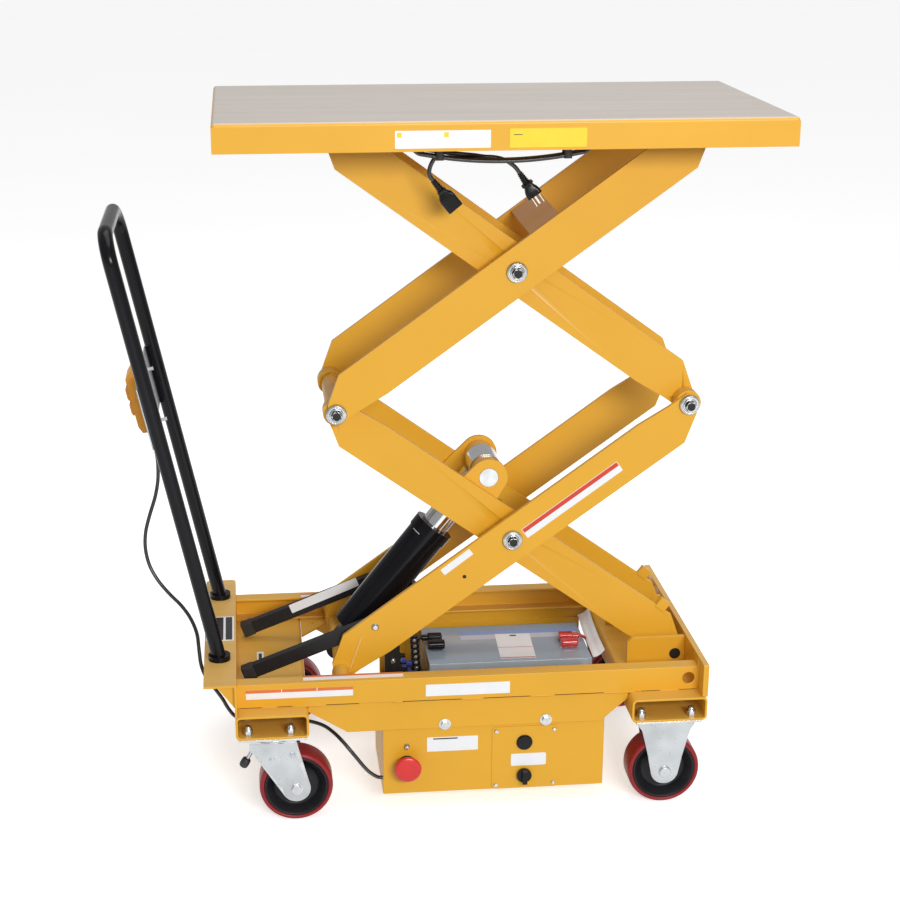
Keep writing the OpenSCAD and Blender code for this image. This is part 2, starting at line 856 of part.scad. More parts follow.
// Lug that carries the head of the cylinder, welded to the inner face of an inner arm
module lug_plate() {
  foot = 84;
  difference() {
    translate([mid_x, 0, mid1_z]) rotate([0, lift_angle, 0])
      side_plate(lug_y, lug_y + lug_t)
        hull() {
          translate([-lug_along, lug_up]) circle(r = lug_r, $fn = 32);
          translate([-lug_along - foot / 2, -20]) square([foot, 8]);
        }
    cross_bar(lug_x, lug_z, lug_pin_r + run_gap, lug_y - 1, lug_y + lug_t + 1);
    cross_bar(lug_x, lug_z, ring_r + face_gap, lug_y + lug_t - ring_t, lug_y + lug_t + 1);
  }
}

module cylinder_pin() {
  color(zinc) {
    both_sides() {
      cross_bar(lug_x, lug_z, lug_pin_r, eye_half + face_gap, lug_y + lug_t);
      cross_ring(lug_x, lug_z, ring_r, lug_pin_r, lug_y + lug_t - ring_t, lug_y + lug_t);
    }
    cross_bar(lug_x, lug_z, eye_pin_r, -eye_half - face_gap, eye_half + face_gap);
  }
}

// Tube that ties the inner arms at the left elbow
module elbow_tube_left() {
  color("#caa79a") cross_ring(left_x, elbow_z, 16, pin_r, -inner_arm_y, inner_arm_y);
}

// The lower outer arms are welded to the shaft that carries the rollers and the cylinder
module outer_lower_arms() {
  shaft_end = rail_out_y - rail_t - 4;
  color(yellow) {
    both_sides() difference() {
      arm(left_x, pivot_z, outer_arm_y, [arm_half, arm_l]);
      cross_bar(prop_x, prop_z, prop_bolt_r, outer_arm_y - 1, outer_arm_y + arm_t + 1);
    }
    cross_bar(left_x, pivot_z, pin_r, -shaft_end, shaft_end);
  }
}

foot_eye_r = 20;
foot_half = 20;

module lower_roller() {
  spacer_r = 15;
  cross_ring(left_x, pivot_z, base_roller_r, bore_r, rail_in_y + 3, rail_out_y - rail_t - 3);
  cross_ring(left_x, pivot_z, spacer_r, bore_r, outer_face, rail_in_y + 3);
}

module lower_roller_near() {
  color(zinc) mirror([0, 1, 0]) lower_roller();
}

module lower_roller_far() {
  color(zinc) lower_roller();
}

module inner_upper_arms() {
  color(yellow) both_sides() {
    difference() {
      left_arm(pivot_x, elbow_z, inner_arm_y, [arm_half, arm_l]);
      cross_bar(pivot_x, elbow_z, pin_r + loop_gap, inner_arm_y - 1, boss_in + 1);
    }
    boss(mid_x, mid2_z, bore_r);
    cross_ring(pivot_x, elbow_z, boss_r, pin_r + loop_gap, boss_in, boss_out);
  }
}

// The upper outer arms are tied by a flat plate just past the middle pivot
module outer_upper_arms() {
  tie_start = arm_half + 54.5;
  tie_l = 58;
  tie_up = 29.5;
  color(yellow) {
    both_sides() arm(left_x, elbow_z, outer_arm_y, [0, arm_half, arm_l]);
    translate([left_x, 0, elbow_z]) rotate([0, -lift_angle, 0])
      block([tie_start, -outer_arm_y, tie_up], [tie_start + tie_l, outer_arm_y, tie_up + 4]);
  }
}

module upper_rollers() {
  color(zinc) {
    cross_bar(left_x, top_z, pin_r, -rail_out_y + rail_t + 4, rail_out_y - rail_t - 4);
    both_sides() {
      cross_bar(left_x, top_z, deck_roller_r, rail_in_y + 3, rail_out_y - rail_t - 3);
      cross_ring(left_x, top_z, 15, pin_r, inner_arm_y + arm_t + face_gap, rail_in_y + 3);
    }
  }
}

// Cup washer and bolt head on the outer end of a pivot
module pivot_head(x, z) {
  translate([x, outer_face, z]) rotate([-90, 0, 0]) {
    cylinder(r1 = 17.2, r2 = 14.5, h = washer_t);
    translate([0, 0, washer_t]) cylinder(r = 8.8, h = head_t, $fn = 6);
  }
}

module left_pivot_bolts() {
  color(zinc) {
    cross_bar(mid_x, mid1_z, pin_r, -outer_face, outer_face);
    both_sides() pivot_head(mid_x, mid1_z);
    cross_bar(left_x, elbow_z, pin_r, -outer_face, outer_face);
    both_sides() pivot_head(left_x, elbow_z);
  }
}

module right_pivot_bolts() {
  color(zinc) {
    both_sides() {
      cross_bar(pivot_x, elbow_z, pin_r, inner_arm_y - 10, outer_face);
      pivot_head(pivot_x, elbow_z);
      cross_bar(prop_x, prop_z, prop_bolt_r, prop_in_y - 1, outer_face);
      translate([prop_x, outer_face, prop_z]) rotate([-90, 0, 0]) cylinder(r1 = 7, r2 = 4, h = 4);
      translate([prop_x, prop_in_y - 6, prop_z]) rotate([-90, 0, 0])
        cylinder(r = 8, h = 5, $fn = 6);
    }
  }
}

module upper_pivot_bolts() {
  color(zinc) {
    cross_bar(mid_x, mid2_z, pin_r, -outer_face, outer_face);
    both_sides() pivot_head(mid_x, mid2_z);
  }
}

// ---- Deck ----

module deck_plate() {
  edge = 6;
  low = deck_top - skirt_h;
  half_l = deck_l / 2;
  half_w = deck_w / 2;
  color(yellow) difference() {
    union() {
      block([-half_l, -half_w, low], [half_l, half_w, deck_top - edge]);
      block([-half_l + edge, -half_w + edge, deck_top - edge],
            [half_l - edge, half_w - edge, deck_top]);
      for (side = [-1, 1]) {
        translate([-half_l + edge, side * (half_w - edge), deck_top - edge]) rotate([0, 90, 0])
          cylinder(r = edge, h = deck_l - 2 * edge);
        translate([side * (half_l - edge), -half_w + edge, deck_top - edge])
          rotate([-90, 0, 0]) cylinder(r = edge, h = deck_w - 2 * edge);
      }
      for (x = [-1, 1], y = [-1, 1])
        translate([x * (half_l - edge), y * (half_w - edge), deck_top - edge])
          sphere(r = edge);
    }
    block([-half_l + sheet_t, -half_w + sheet_t, low - 1],
          [half_l - sheet_t, half_w - sheet_t, deck_under]);
  }
}

deck_rail_low = top_z - deck_roller_r - 0.3 - deck_rail_t;

module deck_rails() {
  rail_end_x = left_x - 180;
  rail_stop_x = left_x + 60;
  color(yellow) {
    both_sides() difference() {
      block([rail_end_x, rail_in_y, deck_rail_low], [rail_stop_x, rail_out_y, deck_under]);
      block([rail_end_x - 1, rail_in_y - 1, deck_rail_low + deck_rail_t],
            [rail_stop_x + 1, rail_out_y - rail_t, deck_under - deck_packer_t]);
    }
    both_sides() difference() {
      block([pivot_x - 30, outer_face, deck_rail_low], [pivot_x + 30, outer_face + arm_t,
            deck_under]);
      cross_bar(pivot_x, top_z, pin_r, outer_face - 1, outer_face + arm_t + 1);
    }
    cross_bar(pivot_x, top_z, pin_r, -outer_face - arm_t - 6, outer_face + arm_t + 6);
  }
}

// ---- Mains lead of the charger, tied up below the deck ----

function hank_under(x) = hank_low - hank_sag * (1 - pow(x / hank_half, 2));

module lead_hank() {
  straight = hank_half - hank_end;
  steps = 12;
  low = [for (i = [0:steps]) let (x = straight * (2 * i / steps - 1)) [x, hank_under(x)]];
  mid = (hank_under(straight) + hank_top) / 2;
  half = hank_top - mid;
  right = [for (a = [-75:15:90]) [straight + hank_end * cos(a), mid + half * sin(a)]];
  left = [for (a = [90:15:255]) [-straight + hank_end * cos(a), mid + half * sin(a)]];
  color(black) {
    translate([0, hank_y + hank_depth / 2, 0]) rotate([90, 0, 0]) linear_extrude(hank_depth)
      polygon(concat(low, right, left));
    for (x = [-straight + 6, straight - 6])
      block([x - 4, hank_y - 3, hank_top], [x + 4, hank_y + 3, deck_under]);
    swept_tube(connector_route, lead_r);
    swept_tube(plug_route, lead_r);
  }
}

// Puts its child at the end of a tail, with X along the way that the tail points
module at_tail(place, tilt) {
  translate(place) rotate([0, tilt, 0]) translate([face_gap, 0, 0]) children();
}

module strain_relief(l) {
  rotate([0, 90, 0]) cylinder(r1 = 4.6, r2 = 7, h = l);
}

module lead_connector() {
  color(black) at_tail(connector_route[len(connector_route) - 1], connector_tilt) {
    strain_relief(20);
    hull() {
      translate([20, -7, -8]) cube([2, 14, 16]);
      translate([32, -8.5, -13.5]) cube([4, 17, 27]);
    }
    block([36, -8.5, -13.5], [58, 8.5, 13.5]);
  }
}

module lead_plug() {
  color(black) at_tail(plug_route[len(plug_route) - 1], plug_tilt) {
    strain_relief(20);
    hull() {
      translate([20, -8, -9]) cube([4, 16, 18]);
      translate([38, -9.5, -13]) cube([6, 19, 26]);
    }
    for (z = [-7.5, 6])
      block([44, -5, z], [60, -3.5, z + 1.5]);
    translate([44, 5, 0]) rotate([0, 90, 0]) cylinder(r = 2.4, h = 17);
  }
}

// ---- Hydraulic cylinder ----

// Puts its child at the foot pivot, with X along the cylinder
module along_cylinder() {
  translate([left_x, 0, pivot_z]) rotate([0, -cyl_angle, 0]) children();
}

module cylinder_barrel() {
  collar_l = 22;
  floor_x = 58;
  color(black) along_cylinder() {
    difference() {
      union() {
        translate([44, 0, 0]) rotate([0, 90, 0]) cylinder(r = barrel_r, h = barrel_l - 44);
        translate([barrel_l - collar_l, 0, 0]) rotate([0, 90, 0])
          cylinder(r = barrel_r + 2, h = collar_l);
        block([0, -foot_half, -16], [46, foot_half, 16]);
        cross_bar(0, 0, foot_eye_r, -foot_half, foot_half);
        block([150, -14, -barrel_r - 14], [178, 14, -barrel_r + 6]);
      }
      cross_bar(0, 0, bore_r, -foot_half - 1, foot_half + 1);
      translate([floor_x, 0, 0]) rotate([0, 90, 0])
        cylinder(r = bore_in_barrel, h = barrel_l - collar_l - floor_x + eps);
      translate([barrel_l - collar_l, 0, 0]) rotate([0, 90, 0])
        cylinder(r = rod_r + run_gap, h = collar_l + 1);
    }
  }
}

module cylinder_rod() {
  eye_neck = 24;
  color(zinc) along_cylinder() difference() {
    union() {
      translate([rod_tail, 0, 0]) rotate([0, 90, 0])
        cylinder(r = rod_r, h = cyl_l - eye_neck - rod_tail);
      translate([rod_tail, 0, 0]) rotate([0, 90, 0])
        cylinder(r = bore_in_barrel - run_gap, h = piston_l);
      cross_bar(cyl_l, 0, eye_r, -eye_half, eye_half);
    }
    cross_bar(cyl_l, 0, eye_bore, -eye_half - 1, eye_half + 1);
  }
}

// ---- Safety props ----

module prop() {
  difference() {
    translate([prop_x, 0, prop_z]) rotate([0, -prop_rest, 0])
      side_plate(prop_in_y, prop_out_y)
        polygon([[-12, -prop_d / 2 + 5], [-12, prop_d / 2 - 5], [-6, prop_d / 2],
                 [prop_l, prop_d / 2], [prop_l, -prop_d / 2], [-6, -prop_d / 2]]);
    cross_bar(prop_x, prop_z, prop_bolt_r + run_gap, prop_in_y - 1, prop_out_y + 1);
  }
}

module prop_far() {
  color(black) prop();
}

module prop_near() {
  color(black) mirror([0, 1, 0]) prop();
}

placed() base_rails();
placed() caster_channels();
placed() handle_shelf();
placed() right_end_plate();
placed() base_brackets();
placed() base_pivot_shaft();
placed() apron_plates();
placed() battery_tray();
placed() control_box();
placed() access_panel();
placed() pump_unit();
placed() battery();
placed() black_boots();
placed() red_boots();
placed() relay_block();
placed() handle_tube();
placed() pendant_bracket();
placed() pendant_case();
placed() pendant_cord();
placed() base_fasteners();
placed() caster_plates();
placed() rigid_forks();
placed() panel_fittings();
placed() power_switch();
placed() estop_button();
placed() up_button();
placed() down_button();
placed() swivel_fork_near();
placed() swivel_fork_far();
placed() brake_lever_near();
placed() brake_lever_far();
placed() hub_left_near();
placed() hub_left_far();
placed() hub_right_near();
placed() hub_right_far();
placed() tread_left_near();
placed() tread_left_far();
placed() tread_right_near();
placed() tread_right_far();
placed() inner_lower_arms();
placed() cylinder_pin();
placed() elbow_tube_left();
placed() outer_lower_arms();
placed() lower_roller_near();
placed() lower_roller_far();
placed() inner_upper_arms();
placed() outer_upper_arms();
placed() upper_rollers();
placed() left_pivot_bolts();
placed() right_pivot_bolts();
placed() upper_pivot_bolts();
placed() deck_plate();
placed() deck_rails();
placed() lead_hank();
placed() lead_plug();
placed() lead_connector();
placed() cylinder_barrel();
placed() cylinder_rod();
placed() prop_near();
placed() prop_far();
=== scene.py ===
"""Looks of a battery-powered scissor lift table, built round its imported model."""
import math

import bpy
from mathutils import Matrix, Vector


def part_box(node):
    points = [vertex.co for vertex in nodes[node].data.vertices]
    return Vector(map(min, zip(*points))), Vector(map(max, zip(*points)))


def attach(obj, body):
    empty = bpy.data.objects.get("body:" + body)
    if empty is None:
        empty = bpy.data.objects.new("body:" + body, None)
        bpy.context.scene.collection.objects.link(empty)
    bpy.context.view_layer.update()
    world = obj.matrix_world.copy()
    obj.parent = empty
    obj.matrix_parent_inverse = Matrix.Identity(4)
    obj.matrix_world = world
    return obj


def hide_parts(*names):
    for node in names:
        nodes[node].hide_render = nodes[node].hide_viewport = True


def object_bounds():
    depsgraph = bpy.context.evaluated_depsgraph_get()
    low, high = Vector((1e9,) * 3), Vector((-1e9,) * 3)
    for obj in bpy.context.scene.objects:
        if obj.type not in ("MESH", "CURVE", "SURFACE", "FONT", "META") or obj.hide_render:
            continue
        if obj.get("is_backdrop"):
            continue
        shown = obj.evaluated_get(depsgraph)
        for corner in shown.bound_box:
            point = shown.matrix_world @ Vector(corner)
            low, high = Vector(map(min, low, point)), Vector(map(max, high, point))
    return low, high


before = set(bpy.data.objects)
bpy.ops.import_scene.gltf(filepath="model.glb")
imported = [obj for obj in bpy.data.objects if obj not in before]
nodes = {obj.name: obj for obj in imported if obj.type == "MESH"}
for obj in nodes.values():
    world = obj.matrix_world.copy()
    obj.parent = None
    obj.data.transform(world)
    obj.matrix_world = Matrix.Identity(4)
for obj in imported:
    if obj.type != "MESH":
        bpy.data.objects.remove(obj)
cad_low, cad_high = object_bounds()

MM = 0.001
deck_low, deck_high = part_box("deck_plate")
MID_X = (deck_low.x + deck_high.x) / 2


def at(x, y, z):
    """A place in the frame, from millimetres with X measured from the middle of the deck."""
    return Vector((MID_X + x * MM, y * MM, z * MM))


# ---- Camera ----

camera_data = bpy.data.cameras.new("camera")
camera_data.lens = 73.11
camera_data.sensor_width = 36
camera_data.shift_x = 0.01943
camera_data.shift_y = 0.05029
camera = bpy.data.objects.new("camera", camera_data)
bpy.context.scene.collection.objects.link(camera)
YAW, PITCH, ROLL = 0.1045, 0.3332, 0.0017
CAMERA_PLACE = (-0.31683, -3.04245, 1.57187)
forward = Vector((math.sin(YAW) * math.cos(PITCH), math.cos(YAW) * math.cos(PITCH),
                  -math.sin(PITCH)))
level = Vector((math.cos(YAW), -math.sin(YAW), 0))
upright = level.cross(forward)
right_axis = math.cos(ROLL) * level + math.sin(ROLL) * upright
up_axis = math.cos(ROLL) * upright - math.sin(ROLL) * level
camera.matrix_world = Matrix.Translation(CAMERA_PLACE) @ Matrix(
    (right_axis, up_axis, -forward)).transposed().to_4x4()
camera_data.clip_start = 0.05
bpy.context.scene.camera = camera


# ---- Materials ----

NOISE_LOW, NOISE_HIGH = 0.3, 0.7


def shade(color, factor):
    return tuple(min(1, c * factor) for c in color)


class Graph:
    """A material's node tree, with short calls to add and join nodes."""

    def __init__(self, name):
        self.material = bpy.data.materials.new(name)
        self.material.use_nodes = True
        self.tree = self.material.node_tree
        self.shader = self.tree.nodes["Principled BSDF"]
        self.coordinates = self.add("ShaderNodeTexCoord").outputs
        self.place = self.coordinates["Object"]

    def add(self, kind, **settings):
        node = self.tree.nodes.new(kind)
        for key, value in settings.items():
            setattr(node, key, value)
        return node

    def link(self, source, target):
        self.tree.links.new(source, target)

    def noise(self, scale, detail=3.0, stretch=None):
        node = self.add("ShaderNodeTexNoise")
        node.inputs["Scale"].default_value = scale
        node.inputs["Detail"].default_value = detail
        if stretch:
            mapping = self.add("ShaderNodeMapping")
            mapping.inputs["Scale"].default_value = stretch
            self.link(self.place, mapping.inputs["Vector"])
            self.link(mapping.outputs["Vector"], node.inputs["Vector"])
        else:
            self.link(self.place, node.inputs["Vector"])
        return node.outputs["Fac"]

    def ramp(self, source, stops):
        node = self.add("ShaderNodeValToRGB")
        elements = node.color_ramp.elements
        while len(elements) < len(stops):
            elements.new(0.5)
        for element, (where, color) in zip(elements, stops):
            element.position = where
            element.color = (*color, 1)
        self.link(source, node.inputs["Fac"])
        return node.outputs["Color"]

    def varied(self, source, color, vary):
        """A colour that a noise makes a little darker and lighter."""
        return self.ramp(source, [(NOISE_LOW, shade(color, 1 - vary)),
                                  (NOISE_HIGH, shade(color, 1 + vary))])

    def span(self, source, low, high):
        """Spreads the middle of a noise, where most of its values lie, from low to high."""
        node = self.add("ShaderNodeMapRange")
        node.inputs["From Min"].default_value = NOISE_LOW
        node.inputs["From Max"].default_value = NOISE_HIGH
        node.inputs["To Min"].default_value = low
        node.inputs["To Max"].default_value = high
        self.link(source, node.inputs["Value"])
        return node.outputs["Result"]

    def facing_up(self):
        """0 on a wall and 1 on a face that looks straight up."""
        split = self.add("ShaderNodeSeparateXYZ")
        self.link(self.coordinates["Normal"], split.inputs["Vector"])
        node = self.add("ShaderNodeMapRange")
        node.inputs["From Min"].default_value = 0.55
        node.inputs["From Max"].default_value = 0.92
        self.link(split.outputs["Z"], node.inputs["Value"])
        return node.outputs["Result"]

    def mix(self, factor, first, second):
        """Colour mix; the node's colour sockets are inputs 6 and 7 and output 2."""
        node = self.add("ShaderNodeMix", data_type="RGBA")
        for index, source in ((0, factor), (6, first), (7, second)):
            self.link(source, node.inputs[index])
        return node.outputs[2]

    def bump(self, source, distance, strength):
        node = self.add("ShaderNodeBump")
        node.inputs["Strength"].default_value = strength
        node.inputs["Distance"].default_value = distance
        self.link(source, node.inputs["Height"])
        self.link(node.outputs["Normal"], self.shader.inputs["Normal"])


def finish_of(name, color, rough, metallic=0.0, vary=0.05, patch=9, grain=320, depth=0.0001,
              coat=0.0, coat_rough=0.1, rough_vary=0.05, specular=0.5, top=None):
    """A surface with patchy colour, uneven gloss and a fine grain, and perhaps painted sheen: a
    paler tint on faces that look up.

    Noise scales are per metre, and depth is in metres."""
    top_vary, top_scale, top_stretch = 0.05, 6, (0.4, 5, 1)
    bump_strength = 0.3
    g = Graph(name)
    tint = g.varied(g.noise(patch, detail=4), color, vary)
    # Painted sheen: faces that look up are mixed towards the top tint, a paler colour that stands
    # in for light reflected off them.
    if top:
        streaks = g.noise(top_scale, detail=5, stretch=top_stretch)
        tint = g.mix(g.facing_up(), tint, g.varied(streaks, top, top_vary))
    g.link(tint, g.shader.inputs["Base Color"])
    g.link(g.span(g.noise(patch * 4), rough - rough_vary, rough + rough_vary),
           g.shader.inputs["Roughness"])
    g.bump(g.noise(grain, detail=2), depth, bump_strength)
    g.shader.inputs["Metallic"].default_value = metallic
    g.shader.inputs["Specular IOR Level"].default_value = specular
    g.shader.inputs["Coat Weight"].default_value = coat
    g.shader.inputs["Coat Roughness"].default_value = coat_rough
    return g.material


YELLOW = (0.755, 0.39, 0.024)
powder_coat = dict(rough=0.42, vary=0.035, patch=5, grain=420, depth=0.00012, coat=0.2,
                   coat_rough=0.3, specular=0.35)
# Up-facing yellow faces get a paler, less saturated tint: painted sheen. On the shelf, end plate
# and left elbow tube it is paler still.
yellow = finish_of("yellow_powder_coat", YELLOW, top=(0.72, 0.41, 0.065), **powder_coat)
yellow_sheen_shelf = finish_of("yellow_painted_sheen_top", YELLOW, top=(0.72, 0.44, 0.12), **powder_coat)
# The deck's top is tinted a pale grey: painted reflection of the bright room seen at a grazing
# angle.
deck_reflection_coat = finish_of("deck_painted_reflection_top", YELLOW, top=(0.47, 0.425, 0.385), **powder_coat)
black_paint = finish_of("black_gloss_paint", (0.006, 0.006, 0.008), 0.17, vary=0.2, grain=260,
                        depth=0.00005, rough_vary=0.03, specular=0.16)
satin_black = finish_of("black_satin_steel", (0.012, 0.012, 0.013), 0.5, vary=0.25, grain=500,
                        depth=0.00015, specular=0.3)
zinc = finish_of("zinc_plate", (0.50, 0.52, 0.53), 0.26, metallic=0.95, vary=0.14, patch=60,
                 grain=260, depth=0.00012, rough_vary=0.1)
bracket_zinc = finish_of("bracket_zinc", (0.50, 0.53, 0.57), 0.4, metallic=0.25, patch=25,
                         grain=260)
chrome = finish_of("chrome_rod", (0.62, 0.62, 0.63), 0.12, metallic=1.0, vary=0.04, patch=30,
                   grain=700, depth=0.00003, rough_vary=0.04)
prong_steel = finish_of("prong_metal", (0.75, 0.72, 0.66), 0.25, metallic=1.0, vary=0.08, patch=200)
rubber = finish_of("black_rubber", (0.016, 0.016, 0.017), 0.55, vary=0.2, patch=60, grain=900,
                   depth=0.0001)
cord_skin = finish_of("cord_jacket", (0.011, 0.011, 0.012), 0.36, vary=0.15, patch=80, grain=1200,
                      depth=0.00005, coat=0.2)
gloss_black = finish_of("black_moulding", (0.008, 0.008, 0.009), 0.2, vary=0.15, patch=60,
                        grain=900, depth=0.00004, coat=0.1, coat_rough=0.06, specular=0.15)
hub_black = finish_of("hub_black", (0.010, 0.010, 0.012), 0.42, vary=0.25, patch=40, grain=600,
                      depth=0.0001, specular=0.25)
tread_red = finish_of("tread_polyurethane", (0.27, 0.013, 0.016), 0.4, vary=0.12, patch=30,
                      grain=350, depth=0.00015, coat=0.1, coat_rough=0.3, specular=0.3)
orange = finish_of("orange_case", (0.83, 0.345, 0.012), 0.4, vary=0.05, patch=40, grain=900,
                   depth=0.0001)
button_orange = finish_of("orange_button", (0.76, 0.33, 0.02), 0.36, vary=0.05, patch=60, grain=900,
                          depth=0.00008)
red = finish_of("red_moulding", (0.64, 0.011, 0.010), 0.36, vary=0.06, patch=60, grain=800,
                depth=0.00006, coat=0.3)
battery_grey = finish_of("battery_case", (0.34, 0.42, 0.50), 0.12, vary=0.05, patch=14, grain=300,
                         depth=0.00004, coat=0.3, coat_rough=0.05, rough_vary=0.03, specular=0.4)
pump_grey = finish_of("pump_paint", (0.03, 0.032, 0.036), 0.42, vary=0.12, grain=400)
paper = finish_of("sticker_white", (0.86, 0.87, 0.89), 0.38, vary=0.03, patch=30, grain=500,
                  depth=0.00003)
paper_red = finish_of("sticker_red", (0.60, 0.045, 0.02), 0.4, vary=0.05, patch=50)
paper_orange = finish_of("sticker_orange", (0.72, 0.17, 0.035), 0.4, vary=0.05, patch=50)
paper_yellow = finish_of("sticker_yellow", (0.85, 0.62, 0.02), 0.4, vary=0.03, patch=50)
paper_blue = finish_of("sticker_blue", (0.26, 0.37, 0.66), 0.38, vary=0.05, patch=50)
paper_pale = finish_of("sticker_pale_blue", (0.56, 0.58, 0.66), 0.38, vary=0.04, patch=50)
paper_dark = finish_of("sticker_black", (0.02, 0.02, 0.025), 0.35, vary=0.1, patch=50)
zinc_sheet = finish_of("zinc_sheet", (0.47, 0.50, 0.52), 0.38, metallic=0.7, vary=0.12, patch=28,
                       grain=240, depth=0.00015, rough_vary=0.12)
weld_pale = finish_of("weld_bead_paint", (0.82, 0.50, 0.13), 0.4, vary=0.06, patch=60, grain=400)
# Near-black brown: painted shade, for the gaps along the rail seams and for a small hole in an arm.
painted_shade = finish_of("gap_and_hole_shade", (0.03, 0.012, 0.004), 0.8, vary=0.2, patch=50)
wire_red = finish_of("wire_red", (0.42, 0.02, 0.015), 0.35, vary=0.08, patch=90)
wire_blue = finish_of("wire_blue", (0.02, 0.05, 0.30), 0.35, vary=0.08, patch=90)
boot_red = finish_of("terminal_boot_red", (0.55, 0.03, 0.025), 0.22, vary=0.06, patch=60, grain=700,
                     depth=0.00006, coat=0.5, coat_rough=0.1)


# ---- Shapes: each is a list of points and a list of faces ----

def box_shape(low, high):
    (x0, y0, z0), (x1, y1, z1) = low, high
    points = [Vector((x, y, z)) for z in (z0, z1) for y in (y0, y1) for x in (x0, x1)]
    faces = [(0, 2, 3, 1), (4, 5, 7, 6), (0, 1, 5, 4), (2, 6, 7, 3), (0, 4, 6, 2), (1, 3, 7, 5)]
    return points, faces


def prism_shape(outline, low, high):
    """An outline in local X and Y, drawn anticlockwise, made solid from low to high."""
    count = len(outline)
    points = [Vector((*p, z)) for z in (low, high) for p in outline]
    faces = [tuple(reversed(range(count))), tuple(range(count, 2 * count))]
    faces += [(i, (i + 1) % count, count + (i + 1) % count, count + i) for i in range(count)]
    return points, faces


def lathe_shape(profile, steps=64):
    """A profile of (radius, height) turned round local Z; a radius of 0 closes the end."""
    points, rings = [], []
    for radius, height in profile:
        if radius == 0:
            rings.append([len(points)] * steps)
            points.append(Vector((0, 0, height)))
        else:
            rings.append(list(range(len(points), len(points) + steps)))
            for i in range(steps):
                a = 2 * math.pi * i / steps
                points.append(Vector((radius * math.cos(a), radius * math.sin(a), height)))
    faces = []
    for a, b in zip(rings, rings[1:]):
        for i in range(steps):
            j = (i + 1) % steps
            face = list(dict.fromkeys((a[i], a[j], b[j], b[i])))
            if len(face) > 2:
                faces.append(tuple(face))
    return points, faces


def loft_shape(sections):
    """Joins outlines of equal length, given as lists of points, and closes both ends."""
    count = len(sections[0])
    points = [Vector(p) for section in sections for p in section]
    faces = [tuple(reversed(range(count)))]
    for k in range(len(sections) - 1):
        base = k * count
        for i in range(count):
            j = (i + 1) % count
            faces.append((base + i, base + j, base + count + j, base + count + i))
    last = (len(sections) - 1) * count
    faces.append(tuple(range(last, last + count)))
    return points, faces


def rounded_rect(width, height, radius, steps=6):
    """Outline round the origin, anticlockwise."""
    outline = []
    corners = [(1, 1, 0), (-1, 1, 90), (-1, -1, 180), (1, -1, 270)]
    for sx, sy, start in corners:
        for i in range(steps + 1):
            a = math.radians(start + 90 * i / steps)
            outline.append((sx * (width / 2 - radius) + radius * math.cos(a),
                            sy * (height / 2 - radius) + radius * math.sin(a)))
    return outline


def rounded_box_shape(length, width, height, radius):
    """Box along local X with round long edges and a softened end, centred on the origin."""
    sections = []
    half = ((0.42, 1), (0.47, 0.95), (0.5, 0.86))
    for along, share in (*((-x, share) for x, share in reversed(half)), *half):
        ring = rounded_rect(width * share, height * share, radius * share)
        sections.append([(along * length, y, z) for y, z in ring])
    return loft_shape(sections)


def hexagon(radius):
    angles = [math.radians(60 * i) for i in range(6)]
    return [(radius * math.cos(a), radius * math.sin(a)) for a in angles]


def join(*shapes):
    points, faces = [], []
    for shape_points, shape_faces in shapes:
        base = len(points)
        points += shape_points
        faces += [tuple(base + i for i in face) for face in shape_faces]
    return points, faces


def moved(shape, matrix):
    return [matrix @ p for p in shape[0]], shape[1]


def turned(x_axis, z_axis):
    """Rotation that puts local X and Z along these directions."""
    x_axis = Vector(x_axis).normalized()
    y_axis = Vector(z_axis).cross(x_axis).normalized()
    return Matrix((x_axis, y_axis, x_axis.cross(y_axis))).transposed().to_4x4()


def axes(origin, x_axis, z_axis):
    """The same rotation about a place in the frame, from local millimetres."""
    return Matrix.Translation(origin) @ turned(x_axis, z_axis) @ Matrix.Scale(MM, 4)


LEVEL = (Vector((1, 0, 0)), Vector((0, 0, 1)))
NEAR = (Vector((1, 0, 0)), Vector((0, -1, 0)))
FAR = (Vector((-1, 0, 0)), Vector((0, 1, 0)))
HOME = axes(at(0, 0, 0), *LEVEL)


def spot(x, y, z, look=NEAR):
    """Places a local shape in the millimetres of at(), for shapes that are joined first."""
    return Matrix.Translation((x, y, z)) @ turned(*look)


def ring_prism(outer, inner, low, high):
    """A hollow bar along local Z between two outlines of equal length."""
    count = len(outer)
    points = [Vector((*p, z)) for outline, z in
              ((outer, low), (outer, high), (inner, high), (inner, low)) for p in outline]
    faces = []
    for k in range(4):
        a, b = k * count, (k + 1) % 4 * count
        faces += [(a + i, a + (i + 1) % count, b + (i + 1) % count, b + i) for i in range(count)]
    return points, faces


def dress(piece, body):
    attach(piece, body)
    return piece


def add_piece(name, shape, matrix, material, body, bevel=0.0, segments=2, smooth=True):
    """Makes a mesh piece from a shape in local millimetres."""
    data = bpy.data.meshes.new(name)
    points, faces = moved(shape, matrix)
    data.from_pydata([tuple(p) for p in points], [], faces)
    data.validate()
    for polygon in data.polygons:
        polygon.use_smooth = smooth
    data.materials.append(material)
    piece = bpy.data.objects.new(name, data)
    bpy.context.scene.collection.objects.link(piece)
    if bevel:
        soften(piece, bevel, segments)
    return dress(piece, body)


SHARP_EDGE = 32


def soften(piece, width, segments=2):
    """Rounds the edges that turn by more than SHARP_EDGE degrees, and evens the shading."""
    bevel = piece.modifiers.new("round_edges", "BEVEL")
    bevel.width = width * MM
    bevel.segments = segments
    bevel.limit_method = "ANGLE"
    bevel.angle_limit = math.radians(SHARP_EDGE)
    bevel.use_clamp_overlap = True
    bevel.miter_outer = "MITER_ARC"
    normals = piece.modifiers.new("even_shading", "WEIGHTED_NORMAL")
    normals.weight = 80


